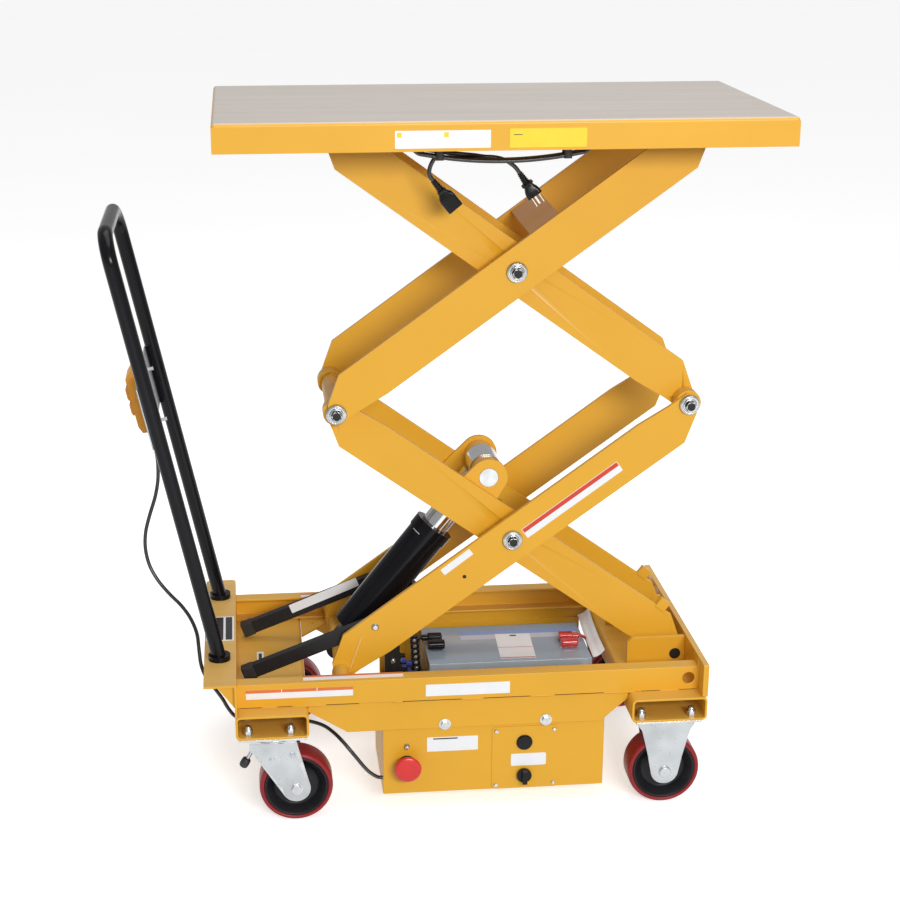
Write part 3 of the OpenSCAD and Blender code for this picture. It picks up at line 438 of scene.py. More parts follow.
def smooth_line(points, steps=6):
    """Catmull-Rom curve through the points."""
    line = []
    padded = [2 * points[0] - points[1], *points, 2 * points[-1] - points[-2]]
    for i in range(1, len(padded) - 2):
        p0, p1, p2, p3 = padded[i - 1:i + 3]
        for k in range(steps):
            t = k / steps
            line.append(0.5 * (2 * p1 + (p2 - p0) * t + (2 * p0 - 5 * p1 + 4 * p2 - p3) * t * t
                               + (3 * p1 - p0 - 3 * p2 + p3) * t ** 3))
    line.append(points[-1])
    return line


def add_tube(name, line, radius, material, body):
    """A round tube along a line, as a curve of one open spline."""
    data = bpy.data.curves.new(name, "CURVE")
    data.dimensions = "3D"
    spline = data.splines.new("POLY")
    spline.points.add(len(line) - 1)
    for point, place in zip(spline.points, line):
        point.co = (*place, 1)
    data.bevel_depth = radius * MM
    data.bevel_resolution = 4
    data.use_fill_caps = True
    data.materials.append(material)
    piece = bpy.data.objects.new(name, data)
    bpy.context.scene.collection.objects.link(piece)
    return dress(piece, body)


# ---- Cords ----

PENDANT_D = 6.6
PENDANT_ROUTE = [
    (-578, 0, 635), (-574, -1, 616), (-571, -3, 592), (-572, -5, 560), (-578, -8, 530),
    (-588, -10, 500), (-597, -12, 468), (-599, -16, 438), (-593, -22, 408), (-579, -30, 382),
    (-560, -40, 360), (-540, -52, 342), (-524, -66, 322), (-514, -82, 300), (-511, -98, 276),
    (-508, -112, 254), (-500, -124, 236), (-486, -132, 218), (-473, -134, 198), (-463, -130, 176),
    (-450, -122, 156), (-430, -116, 148), (-400, -116, 147), (-360, -122, 148), (-325, -138, 150),
    (-300, -160, 151), (-283, -184, 148), (-270, -204, 142), (-258, -214, 130), (-246, -216, 114),
    (-236, -212, 98), (-226, -204, 82), (-217, -196, 70), (-208, -191, 62), (-199.7, -190, 60),
]
pendant_line = smooth_line([at(*p) for p in PENDANT_ROUTE])
pendant_cord = add_tube("pendant_cable", pendant_line, PENDANT_D / 2, cord_skin, "base")
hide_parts("pendant_cord")
GLAND_SLEEVE = [(0, -1), (4.8, -1), (5.6, 0.5), (5.8, 11), (5.4, 12.5), (0, 12.5)]
gland_way = pendant_line[0] - pendant_line[1]
add_piece("pendant_gland_sleeve", lathe_shape(GLAND_SLEEVE),
          axes(pendant_line[0], (0, 1, 0), gland_way), cord_skin, "base")

LEAD_D = 7.0
CONNECTOR_TAIL = [
    (-98, -149.2, 1138), (-105, -148, 1130), (-110, -147, 1122), (-113, -146, 1114),
    (-114, -146, 1106), (-112, -146, 1099), (-108, -146, 1094),
]
PLUG_TAIL = [
    (-26, -149.2, 1131), (-12, -149, 1130), (2, -148.5, 1127), (14, -147.5, 1121),
    (24, -146.5, 1113), (31, -146, 1104),
]
HANK_Y, HANK_HALF, HANK_LOW, HANK_SAG = -164, 150, 1140, 17
RUN_RISE = 4  # the lead's centre above the hank's lower face
LANE = 7.2  # from one run to the next
UPPER_Z = 1182
FOLD_X = 123
FOLD_REACH, LAST_FOLD_REACH = 23, 15


def lower_z(x, layer=0):
    """Height of a lower run of the hank, which sags between its ends."""
    return HANK_LOW - HANK_SAG * (1 - (x / HANK_HALF) ** 2) + RUN_RISE + layer * LANE


def lower_run(start, end, y, layer=0, count=8):
    """A run from left to right along the bottom of the hank."""
    xs = [start + (end - start) * i / (count - 1) for i in range(count)]
    return [(x, y, lower_z(x, layer)) for x in xs]


def upper_run(y0, y1, layer=0):
    """The run back to the left, behind the skirt, that shifts to the next lane."""
    points = []
    count = 8
    for i in range(count):
        t = i / (count - 1)
        rise = layer * LANE * min(1, 3 * t)
        points.append((FOLD_X - 2 * FOLD_X * t, y0 + (y1 - y0) * t, UPPER_Z + rise))
    return points


def fold(side, y, low, high, reach=FOLD_REACH):
    """Half circle that leads from one level to the other past an end of the hank."""
    middle, half = (low + high) / 2, (high - low) / 2
    turns = [math.radians(a) for a in (-60, -30, 0, 30, 60)]
    points = [(side * (FOLD_X + reach * math.cos(a)), y, middle + half * math.sin(a))
              for a in turns]
    return points if side > 0 else points[::-1]


def lead_points():
    """The whole lead: up from the connector, round the hank and down to the plug."""
    lanes = [HANK_Y + LANE, HANK_Y, HANK_Y - LANE]
    low = lower_z(FOLD_X)
    after_connector, before_plug = (-84, -152, 1138), (-42, -153, 1134)
    points = [*CONNECTOR_TAIL[::-1], after_connector, *lower_run(-56, FOLD_X, lanes[0], count=6)]
    for lane, after in zip(lanes, lanes[1:]):
        points += fold(1, lane, low, UPPER_Z) + upper_run(lane, after)
        points += fold(-1, after, low, UPPER_Z) + lower_run(-FOLD_X, FOLD_X, after)
    lane, after = lanes[-1], HANK_Y + LANE / 2
    points += fold(1, lane, low, UPPER_Z) + upper_run(lane, after, layer=1)
    points += fold(-1, after, low + LANE, UPPER_Z + LANE, LAST_FOLD_REACH)
    points += lower_run(-FOLD_X, -58, after, layer=1, count=4)
    return [*points, before_plug, *PLUG_TAIL]


lead_line = smooth_line([at(*p) for p in lead_points()], 5)
lead = add_tube("mains_lead", lead_line, LEAD_D / 2, cord_skin, "deck")
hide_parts("lead_hank")


def relief_profile(start_r, end_r, length):
    """Ribbed strain relief along local Z."""
    ribs = 6
    pitch = length / ribs
    profile = [(0, 0)]
    for i in range(ribs):
        r = start_r + (end_r - start_r) * (i + 0.5) / ribs
        for share, scale in ((0.02, 1), (0.55, 1), (0.6, 0.78), (0.98, 0.78)):
            profile.append((r * scale, (i + share) * pitch))
    return profile + [(end_r, length), (0, length)]


def tail_axes(tail, tilt):
    """Matrix at the end of a tail, with local X along the way that the tail points."""
    a = math.radians(tilt)
    along = Vector((math.cos(a), 0, -math.sin(a)))
    return axes(at(*tail[-1]) + along * 0.3 * MM, along, (math.sin(a), 0, math.cos(a)))


def section(x, width, height, radius):
    return [(x, y, z) for y, z in rounded_rect(width, height, radius, 4)]


TURN_X = Matrix(((0, 0, 1, 0), (0, 1, 0, 0), (-1, 0, 0, 0), (0, 0, 0, 1)))


def add_moulding(name, matrix, sections):
    """A rubber moulding: ribbed strain relief, then a body lofted through its sections."""
    relief = moved(lathe_shape(relief_profile(4.6, 6.6, 20), 32), TURN_X)
    body = loft_shape([section(*s) for s in sections])
    return add_piece(name, join(relief, body), matrix, gloss_black, "deck", 0.5)


plug_axes = tail_axes(PLUG_TAIL, 55)
plug = add_moulding("mains_plug", plug_axes, [
    (19.5, 15, 17, 3), (20, 17, 20, 3), (23, 17, 20, 3), (23.6, 13, 15, 4), (28, 14, 18, 4),
    (33, 16.5, 23, 5), (38, 18, 25.4, 5), (43.2, 19, 26, 5), (44, 18, 25, 5)])
blades = [box_shape((44, -5.2, z), (60, -3.7, z + 1.5)) for z in (-7.5, 6)]
pin = moved(lathe_shape([(0, 0), (2.4, 0), (2.4, 15), (1.6, 17), (0, 17)], 24),
            Matrix.Translation((44, 5, 0)) @ TURN_X)
prongs = add_piece("plug_prongs", join(*blades, pin), plug_axes, prong_steel, "deck", 0.25)
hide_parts("lead_plug")

connector_axes = tail_axes(CONNECTOR_TAIL, 51)
connector = add_moulding("lead_socket", connector_axes, [
    (19.5, 12, 13, 3), (20, 14, 16, 3), (23, 14, 16, 3), (24, 13, 15, 3), (28, 14.5, 20, 4),
    (31.5, 16, 25, 4), (36, 17, 27, 3), (57.4, 17, 27, 3), (58, 16.2, 26.2, 3)])
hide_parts("lead_connector")

STRAP_TOP, STRAP_W, STRAP_T, STRAP_HALF = 1196, 25.4, 0.8, 6
for name, x in (("lead_strap_left", -100), ("lead_strap_right", 104)):
    low = lower_z(x) - 5.2
    height = STRAP_TOP - low
    outline = rounded_rect(STRAP_W, height, 3)
    inner = rounded_rect(STRAP_W - 2 * STRAP_T, height - 2 * STRAP_T, 3 - STRAP_T)
    place = axes(at(x, HANK_Y, (low + STRAP_TOP) / 2), (0, 1, 0), (1, 0, 0))
    add_piece(name, ring_prism(outline, inner, -STRAP_HALF, STRAP_HALF), place, rubber, "deck")


# ---- Welds, seams and stickers ----

def bead_shape(start, end, radius, pitch=3.0):
    """A weld bead: a worm of ripples from one place to another, in millimetres."""
    start, end = Vector(start), Vector(end)
    along = (end - start).normalized()
    side = along.cross(Vector((0, 0, 1)) if abs(along.z) < 0.9 else Vector((0, 1, 0))).normalized()
    up = along.cross(side)
    length = (end - start).length
    steps = max(6, int(length / pitch * 4))
    sections = []
    for i in range(steps + 1):
        t = i / steps
        ends = min(1, 0.35 + 4 * t, 0.35 + 4 * (1 - t))
        r = radius * ends * (1 + 0.16 * math.cos(2 * math.pi * t * length / pitch))
        middle = start + along * length * t
        sections.append([middle + r * (math.cos(a) * side + math.sin(a) * up)
                         for a in (2 * math.pi * k / 8 for k in range(8))])
    return loft_shape(sections)


def sticker(name, matrix, width, height, body, slot, bands=(), base=paper, corner=1.5):
    """A thin sticker in the local X-Y plane, with plain bands of other colours on it.

    A band's edges are shares of the sticker's width and height."""
    sticker_t, band_low, band_high = 0.35, 0.3, 0.42
    plate = prism_shape(rounded_rect(width, height, corner, 4), 0, sticker_t)
    add_piece(name, plate, matrix, base, body, smooth=False)
    for k, (material, x0, x1, y0, y1) in enumerate(bands):
        band = box_shape(((x0 - 0.5) * width, (y0 - 0.5) * height, band_low),
                         ((x1 - 0.5) * width, (y1 - 0.5) * height, band_high))
        add_piece("%s_band_%d" % (name, k), band, matrix, material, body, smooth=False)


def near_label(name, x0, x1, z0, z1, y, *bands, body="base", **look):
    """A sticker on a painted face that looks to the front."""
    place = axes(at((x0 + x1) / 2, y, (z0 + z1) / 2), *NEAR)
    sticker(name, place, x1 - x0, z1 - z0, body, "yellow_paint", bands, **look)


def flat_label(name, x0, x1, y0, y1, z, *bands, slot="yellow_paint", **look):
    """A sticker on a face of the base that looks up."""
    place = axes(at((x0 + x1) / 2, (y0 + y1) / 2, z), *LEVEL)
    sticker(name, place, x1 - x0, y1 - y0, "base", slot, bands, **look)


# SEAMS get thin dark strips, painted shade of the gap between each rail and its channel; BEADS are
# the weld beads between them.
SEAMS = [(-442, -406), (-379.4, -354.7), (-296, -240), (-165, -63), (-25, 56), (99, 185),
         (252, 284), (318, 347)]
BEADS = [(-406, -379.4), (-351, -296), (-182, -165), (-63, -25), (56, 99), (185, 240), (284, 318)]
RAIL_Y, RAIL_FLOOR, RAIL_TOP = -205, 211.5, 254.5
SEAM_PROUD, BEAD_SUNK = 0.3, 0.2
seam_boxes, bead_shapes = [], []
for side in (-1, 1):
    y = -side * RAIL_Y
    seam_y = sorted((y, y + side * SEAM_PROUD))
    for x0, x1 in SEAMS:
        seam_boxes.append(box_shape((x0, seam_y[0], RAIL_FLOOR - 0.3),
                                    (x1, seam_y[1], RAIL_FLOOR + 0.7)))
    for x0, x1 in BEADS:
        bead_shapes.append(bead_shape((x0, y - side * BEAD_SUNK, RAIL_FLOOR - BEAD_SUNK),
                                      (x1, y - side * BEAD_SUNK, RAIL_FLOOR - BEAD_SUNK), 1.7))
add_piece("rail_seam_shadows", join(*seam_boxes), HOME, painted_shade, "base", smooth=False)
for x, z0, z1 in ((-447, 214, 250), (351, 214, 268)):
    for y in (-204, 204):
        bead_shapes.append(bead_shape((x, y, z0), (x, y, z1), 1.8))
add_piece("rail_welds", join(*bead_shapes), HOME, yellow, "base")

ARM_Y = 118
arm_welds = [bead_shape((-227.7, y, 301), (-251.5, y, 231), 2.0, 4) for y in (-ARM_Y, ARM_Y)]
add_piece("arm_foot_welds", join(*arm_welds), HOME, weld_pale, "outer_lower")

# ---- Caster channels ----

CHANNELS = ((-451, 124), (229, 132))
CHANNEL_LOW, CHANNEL_HIGH, CHANNEL_END = 168, 211.5, 240.5
CHANNEL_WALL = 4
tubes = []
for x0, width in CHANNELS:
    height = CHANNEL_HIGH - CHANNEL_LOW
    hollow = rounded_rect(width - 2 * CHANNEL_WALL, height - 2 * CHANNEL_WALL, 5)
    bar = ring_prism(rounded_rect(width, height, 8.5), hollow, -CHANNEL_END, CHANNEL_END)
    tubes.append(moved(bar, spot(x0 + width / 2, 0, (CHANNEL_LOW + CHANNEL_HIGH) / 2)))
channels = add_piece("channel_tubes", join(*tubes), HOME, yellow, "base", 0.8)
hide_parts("caster_channels")

CASTER_BOLTS_X = (-430, -358, 248, 336)
WHEEL_Y = 192
DOME_Z, PLATE_HEAD_Z = 180.8, 158.6
dome = lathe_shape([(7.6, 0), (7.6, 1.2), (6.4, 2), (6.2, 5), (5, 7.6), (2.8, 9.2), (0, 9.8)], 24)
plate_head = join(prism_shape(hexagon(6.6), 0, 4.2),
                  lathe_shape([(0, 4.4), (8.6, 4.4), (8.6, 5.4), (0, 5.4)], 24))
caps, heads = [], []
for x in CASTER_BOLTS_X:
    for y in (-226, -158, 158, 226):
        caps.append(moved(dome, spot(x, y, DOME_Z, LEVEL)))
        heads.append(moved(plate_head, spot(x, y, PLATE_HEAD_Z, LEVEL)))
add_piece("dome_nuts", join(*caps), HOME, zinc, "base")
add_piece("plate_bolt_heads", join(*heads), HOME, zinc, "base", 0.5)

# ---- Wheels ----

def closed_both_ways(half_profile):
    """A closed wheel profile from its half below the middle plane."""
    upper = [(r, -z) for r, z in reversed(half_profile)]
    return lathe_shape([*half_profile, *upper, half_profile[0]], 96)


AXLE_Z = 63.5
KINGPIN, SWIVEL_AXLE, RIGID = -389, -350.5, 295
tread_shape = closed_both_ways([(55, -22), (56, -24.2), (58, -25), (60.5, -24.4), (62.6, -22),
                                (63.5, -18)])
hub_shape = closed_both_ways([(6.5, -26), (18, -26), (20, -24.5), (21.5, -12), (24, -10),
                              (37, -9), (40, -11), (41, -13), (50, -21), (51.5, -23.6),
                              (53, -24.4), (55.2, -23.4)])
for end, x in (("left", SWIVEL_AXLE), ("right", RIGID)):
    for side, y in (("near", -WHEEL_Y), ("far", WHEEL_Y)):
        corner = "%s_%s" % (end, side)
        place = axes(at(x, y, AXLE_Z), *NEAR)
        tread = add_piece("tyre_" + corner, tread_shape, place, tread_red, "wheel_" + corner)
        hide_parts("tread_" + corner)
        hub = add_piece("wheel_hub_" + corner, hub_shape, place, hub_black, "wheel_" + corner)
        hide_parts("hub_" + corner)

# ---- Forks, swivels and brakes ----

FORK_FACE = 222


def rigid_skin():
    """Pressed sheet of a rigid fork: a raised centre panel with sloping wings."""
    wide = [(-54, 163), (-50, 153), (-43, 143), (-39, 128), (-25, 70), (-21, 52), (-10, 42)]
    left = wide + [(0, 39)]
    rim = left + [(-x, z) for x, z in reversed(wide)]
    panel = [(-24, 161), (-23, 150), (-22, 140), (-20, 122), (-13, 72), (-11, 58), (-6, 51),
             (0, 49)]
    inner = panel + [(-x, z) for x, z in reversed(panel[:-1])]
    count = len(rim)
    points = [Vector((x, z - AXLE_Z, 0.2)) for x, z in rim]
    points += [Vector((x, z - AXLE_Z, 3.0)) for x, z in inner]
    points += [Vector((x, z - AXLE_Z, -0.6)) for x, z in rim]
    faces = [(i, i + 1, count + i + 1, count + i) for i in range(count - 1)]
    faces += [(count - 1, 0, count, 2 * count - 1), tuple(range(count, 2 * count))]
    faces += [(2 * count + i, 2 * count + (i + 1) % count, (i + 1) % count, i)
              for i in range(count)]
    return points, faces


def swivel_skin():
    """Pressed sheet of a swivel fork, with local X from its axle: flat, with one upright fold."""
    shift = SWIVEL_AXLE - KINGPIN
    rim = [(-40 - shift, 152), (-40 - shift, 141), (-24, 66), (-20, 50), (-11, 42), (0, 39.5),
           (11, 42), (20, 50), (24, 62), (40 - shift, 120), (40 - shift, 152)]
    fold_low, fold_high = (-11, 60), (14 - shift, 152)
    points = [Vector((x, z - AXLE_Z, 0.4)) for x, z in rim]
    points += [Vector((fold_low[0], fold_low[1] - AXLE_Z, 2.6)),
               Vector((fold_high[0], fold_high[1] - AXLE_Z, 2.6))]
    points += [Vector((x, z - AXLE_Z, -0.6)) for x, z in rim]
    low, high, count = 11, 12, 11
    faces = [(0, 1, low, high), (1, 2, low), (2, 3, 4, low), (4, 5, 6, low), (6, 7, 8, low),
             (8, 9, high, low), (9, 10, high), (10, 0, high)]
    faces += [(13 + i, 13 + (i + 1) % count, (i + 1) % count, i) for i in range(count)]
    return points, faces


fork_nut = join(prism_shape(hexagon(5.2), -0.5, 3.4),
                lathe_shape([(2.4, 3), (2.4, 5), (0, 5.2)], 16))
lower_race = lathe_shape([(36, 156.6), (41.5, 156.6), (43, 157.6), (43, 158.6), (40, 160),
                          (34, 160.4), (34, 158)])
upper_race = lathe_shape([(32, 160.8), (45, 160.8), (46.5, 161.8), (46.5, 163), (44, 164.2),
                          (32, 164.2), (32, 160.8)])
axle_cap = lathe_shape([(10.4, 0), (10.4, 6.6), (9.4, 8), (6, 8.6), (0, 8.7)], 32)
brake_stalk = lathe_shape([(0, -6), (4.4, -6), (4.4, 0), (3.4, 2), (3.4, 36), (0, 36)], 20)
brake_hinge = lathe_shape([(0, -26), (4, -26), (4, 26), (0, 26)], 20)
brake_tip = lathe_shape([(0, -3), (5.6, -3), (7.4, -1), (7.9, 3), (7.9, 9), (7.2, 13), (4.6, 15),
                         (0, 15.4)], 28)
for side, sign, look in (("near", -1, NEAR), ("far", 1, FAR)):
    wheel_y, face_y = sign * WHEEL_Y, sign * FORK_FACE
    mirror = Matrix.Scale(-sign, 4, Vector((1, 0, 0)))
    points, faces = moved(swivel_skin(), spot(SWIVEL_AXLE, face_y, AXLE_Z, look) @ mirror)
    if side == "far":
        faces = [tuple(reversed(face)) for face in faces]
    nuts = [moved(fork_nut, spot(x, sign * (FORK_FACE + 0.4), z, look))
            for x, z in ((-391, 121), (-356, 128))]
    at_kingpin = Matrix.Translation((KINGPIN, wheel_y, 0))
    sheet = join((points, faces), *nuts, moved(lower_race, at_kingpin))
    add_piece("swivel_sheet_" + side, sheet, HOME, zinc_sheet, "swivel_" + side, 0.6)
    add_piece("upper_race_" + side, moved(upper_race, at_kingpin), HOME, zinc, "base")
    at_rigid_axle = spot(RIGID, face_y, AXLE_Z, look)
    rigid = join(moved(rigid_skin(), at_rigid_axle), moved(axle_cap, at_rigid_axle))
    add_piece("rigid_sheet_" + side, rigid, HOME, zinc_sheet, "base", 0.6)

    # Wheel brake: a stalk with a rubber tip
    start, finish = Vector((-416, wheel_y, 139)), Vector((-434.5, wheel_y, 108))
    slope = turned((0, 1, 0), finish - start)
    stalk = moved(brake_stalk, Matrix.Translation(start) @ slope)
    hinge = moved(brake_hinge, spot(-419, wheel_y, 137))
    plate = box_shape((-423, wheel_y - 20, 130), (-411, wheel_y + 20, 133))
    lever = add_piece("brake_stalk_" + side, join(stalk, hinge, plate), HOME, zinc,
                      "brake_" + side, 0.3)
    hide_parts("brake_lever_" + side)
    tip = moved(brake_tip, Matrix.Translation(finish) @ slope)
    add_piece("brake_tip_" + side, tip, HOME, rubber, "brake_" + side)

# ---- Pivot heads ----

PIVOTS = {"inner_lower": ((33.8, 467.6), (-266.5, 702.1)), "outer_lower": ((334, 702.1),),
          "outer_upper": ((33.8, 936.7),)}
HEAD_Y = 118.3
washer = join(lathe_shape([(9.4, 5.2), (12.6, 5.2), (12.2, 7.4), (10.6, 8.4), (9.4, 8.4),
                           (9.4, 5.2)], 32),
              lathe_shape([(15, 4.4), (16.4, 3.2), (17.4, 0.4), (17.8, 1.2), (16.8, 4.4),
                           (15.4, 5.8), (14, 6), (15, 4.4)], 40))
bolt_head = join(prism_shape(hexagon(9.1), 6, 14.4),
                 lathe_shape([(7.4, 14), (7.4, 14.9), (0, 15)], 24))
for body, places in PIVOTS.items():
    spots = [spot(x, y, z, look) for x, z in places
             for y, look in ((-HEAD_Y, NEAR), (HEAD_Y, FAR))]
    washers, bolt_heads = ([moved(shape, where) for where in spots]
                           for shape in (washer, bolt_head))
    add_piece("pivot_collars_" + body, join(*washers), HOME, zinc, body)
    add_piece("pivot_heads_" + body, join(*bolt_heads), HOME, satin_black, body,
              0.7)

# ---- Control box ----

BOX_FRONT, PANEL_FRONT = -196.7, -198.2
ESTOP_X = -157.5
estop_profile = [(0, -26), (8, -26), (8, 12), (15, 12.5), (17.5, 13.5), (20.5, 17), (23, 21.5),
                 (23.5, 24), (23.1, 25.6), (21.6, 27), (18, 28), (10, 28.5), (0, 28.6)]
button = add_piece("mushroom_button", lathe_shape(estop_profile),
                   axes(at(ESTOP_X, BOX_FRONT, 89), *NEAR), red, "estop")
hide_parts("estop_button")
inlet = join(lathe_shape([(12.9, 1.2), (14.2, 1.4), (14.2, 3.4), (12.6, 4), (11.6, 3.6), (11.6, -2),
                          (0, -2)], 48),
             prism_shape([(-7, -1.5), (7, -1.5), (7, 1.5), (-7, 1.5)], -2.2, 4.6))
add_piece("inlet_rim", inlet, axes(at(48.8, BOX_FRONT, 120.3), *NEAR), gloss_black, "base",
          0.4)
panel_screw = join(lathe_shape([(3.4, 0), (3.4, 1.2), (2.6, 2.2), (0, 2.5)], 24),
                   box_shape((-2.2, -0.4, 2.2), (2.2, 0.4, 2.7)))
screws = [moved(panel_screw, spot(x, PANEL_FRONT - 0.9, z)) for x in (-1, 101)
          for z in (39, 143.5)]
add_piece("panel_screw_heads", join(*screws), HOME, zinc, "base", 0.2)
guard = lathe_shape([(5.2, 0), (5.2, 2), (3.6, 3), (3.4, 7), (2.4, 8), (0, 8.2)], 24)
add_piece("guard_screw", guard, axes(at(ESTOP_X, BOX_FRONT, 122), *NEAR), zinc, "base")

# ---- Battery terminals, relays and wiring ----

BATTERY_TOP = 188


def boot_body(x, y, z, length, width, height, radius):
    return moved(rounded_box_shape(length, width, height, radius), Matrix.Translation((x, y, z)))


def boot_neck(x, y, z, reach, radius):
    """Round sleeve of a boot along X that its cable leaves by, towards the sign of reach."""
    length = abs(reach)
    profile = [(0, 0), (radius, 0), (radius, length - 1.5), (radius - 1, length), (0, length)]
    way = turned((0, 1, 0), (reach, 0, 0))
    return moved(lathe_shape(profile, 24), Matrix.Translation((x, y, z)) @ way)


def boot_pair(middle, way, near_y, far_y):
    """Two moulded boots: a box with a sleeve on the far terminal, a capsule on the near one."""
    z = BATTERY_TOP
    far_boot = join(boot_body(middle, far_y, z + 8, 26, 19, 15, 4),
                    boot_body(middle, far_y, z + 3, 20, 15, 6, 3),
                    boot_neck(middle + way * 12, far_y, z + 8.5, way * 13, 6))
    near_boot = join(boot_body(middle + way, near_y, z + 10.5, 31, 19, 17, 8),
                     boot_body(middle, near_y, z + 4, 20, 14, 8, 5))
    bridge = boot_body(middle, (near_y + far_y) / 2, z + 5, 13, far_y - near_y, 8, 3)
    return join(far_boot, near_boot, bridge)


black_pair = add_piece("terminal_boots_black", boot_pair(-78, -1, 60, 98), HOME, gloss_black,
                       "base", 0.8)
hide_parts("black_boots")
red_pair = add_piece("terminal_boots_red", boot_pair(168, 1, 46, 80), HOME, boot_red, "base",
                     0.8)
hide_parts("red_boots")


def add_wire(name, points, radius, material):
    """A fixed wire beside the battery, as a short tube."""
    line = smooth_line([at(*p) for p in points], 5)
    add_tube(name, line, radius, material, "base")


add_wire("battery_wire_black", [(-101, 98, 196.5), (-106, 96, 197), (-112, 90, 194),
                                (-116, 80, 184), (-115, 66, 172), (-112, 48, 164),
                                (-110, 30, 158)], 2.9, cord_skin)
add_wire("battery_wire_red", [(192, 80, 196.5), (198, 80, 196), (204, 78, 193), (208.5, 72, 186),
                              (210.5, 62, 176), (211, 48, 168)], 2.6, wire_red)
WIRES = [(wire_red, -156, 28, -10), (wire_blue, -150, 36, -14), (cord_skin, -144, 30, -6),
         (button_orange, -138, 40, -18), (wire_blue, -134, 58, -8), (wire_red, -148, 66, -16),
         (cord_skin, -158, 50, -12), (cord_skin, -128, 24, -9)]
for k, (material, x, y, drop) in enumerate(WIRES):
    add_wire("relay_wire_%d" % k,
             [(x, y, 150), (x + 3, y - 4, 160 + k), (x + 12, y - 9, 164 + drop / 3),
              (x + 22, y - 8, 158 + drop / 2), (x + 31, y - 2, 150 + drop / 2)], 1.5, material)
strip_screw = lathe_shape([(3.4, 0), (3.4, 1.4), (2.4, 2.2), (0, 2.4)], 16)
strip, metal = [], []
for k in range(7):
    rise = 153 + 11 * k
    lean = k * 0.8
    strip.append(box_shape((-126 - lean, 26, rise), (-110 - lean, 46, rise + 8)))
    strip.append(box_shape((-124 - lean, 28, rise + 7), (-112 - lean, 44, rise + 12)))
    metal.append(moved(strip_screw, spot(-118 - lean, 26, rise + 4)))
add_piece("terminal_strip", join(*strip), HOME, gloss_black, "base", 1.0)
relay_stud = join(prism_shape(hexagon(5), 0, 4), lathe_shape([(2.6, 4), (2.6, 8), (0, 8.4)], 16))
metal.append(moved(relay_stud, spot(-163, 20, 188)))
add_piece("terminal_screws", join(*metal), HOME, zinc, "base", 0.2)
relay_plate = box_shape((-178, 21, 146), (-150, 25, 216))
add_piece("relay_plate", relay_plate, HOME, satin_black, "base", 1.2)
plugs = [box_shape((x, 24, z), (x + 9, 34, z + 7))
         for x, z in ((-146, 166), (-136, 174), (-147, 180), (-136, 158))]
add_piece("relay_plugs", join(*plugs), HOME, wire_blue, "base", 0.8)

sheet_profile = [(205.5, 189), (212, 190.5), (219, 195), (226, 203), (226.6, 202.6),
                 (219.6, 194.2), (212.3, 189.7), (205.5, 188.2)]
sheet_ends = [[(x, y, z + max(0, y) * lift) for x, z in sheet_profile]
              for y, lift in ((-4, 0), (60, 0.02), (120, 0.06), (160, 0.1))]
add_piece("battery_end_sheet", loft_shape(sheet_ends), HOME, paper, "base")

# ---- Blank stickers where the object carries its labels ----

SKIRT_Y, SHELF_TOP = -250, 271
near_label("skirt_label_white", -177, -30, 1160, 1187, SKIRT_Y,
           (paper_yellow, 0.02, 0.07, 0.62, 0.9), (paper_yellow, 0.51, 0.56, 0.62, 0.9),
           body="deck")
near_label("skirt_label_yellow", -0.5, 119, 1159.5, 1188.5, SKIRT_Y,
           (paper_dark, 0.05, 0.16, 0.66, 0.70), body="deck", base=paper_yellow)
near_label("rail_label_band", -432, -250, 227.5, 244.5, RAIL_Y,
           (paper_orange, 0, 0.33, 0.66, 1), (paper_orange, 0.337, 0.66, 0.66, 1),
           (paper_orange, 0.667, 1, 0.66, 1), corner=0.8)
near_label("rail_label_white", -125, 20.5, 219.5, 241.3, RAIL_Y, corner=0.8)
flat_label("rail_top_label_near", -334, -162.5, -195, -177, RAIL_TOP,
           (paper_orange, 0, 1, 0.62, 1), corner=0.8)
flat_label("rail_top_label_far", -324, -281, 180, 196, RAIL_TOP,
           (paper_orange, 0, 1, 0.6, 1), corner=0.8)
near_label("box_label", -122, -33, 109.5, 136.7, BOX_FRONT, (paper_dark, 0.12, 0.6, 0.84, 0.93))
near_label("panel_label", 25.5, 87.5, 75, 98.5, PANEL_FRONT, corner=3)
flat_label("shelf_label", -500, -450.5, -50, 59, SHELF_TOP,
           (paper_dark, 0.06, 0.62, 0.03, 0.97), (paper_dark, 0.70, 0.94, 0.03, 0.97))
flat_label("channel_label", -411, -398.5, -24, 29, CHANNEL_HIGH,
           (paper_dark, 0.25, 0.7, 0.1, 0.85))
flat_label("battery_band", -28, 194, 100, 137, BATTERY_TOP, (paper_blue, 0, 1, 0.5, 1),
           slot="battery_case", base=paper_pale)


def slant_label(name, x, z, angle, width, height, y, body, slot, *bands):
    """A sticker on a face that looks to the front, turned up from level by an angle."""
    a = math.radians(angle)
    place = axes(at(x, y, z), (math.cos(a), 0, math.sin(a)), (0, -1, 0))
    sticker(name, place, width, height, body, slot, bands, corner=0.8)


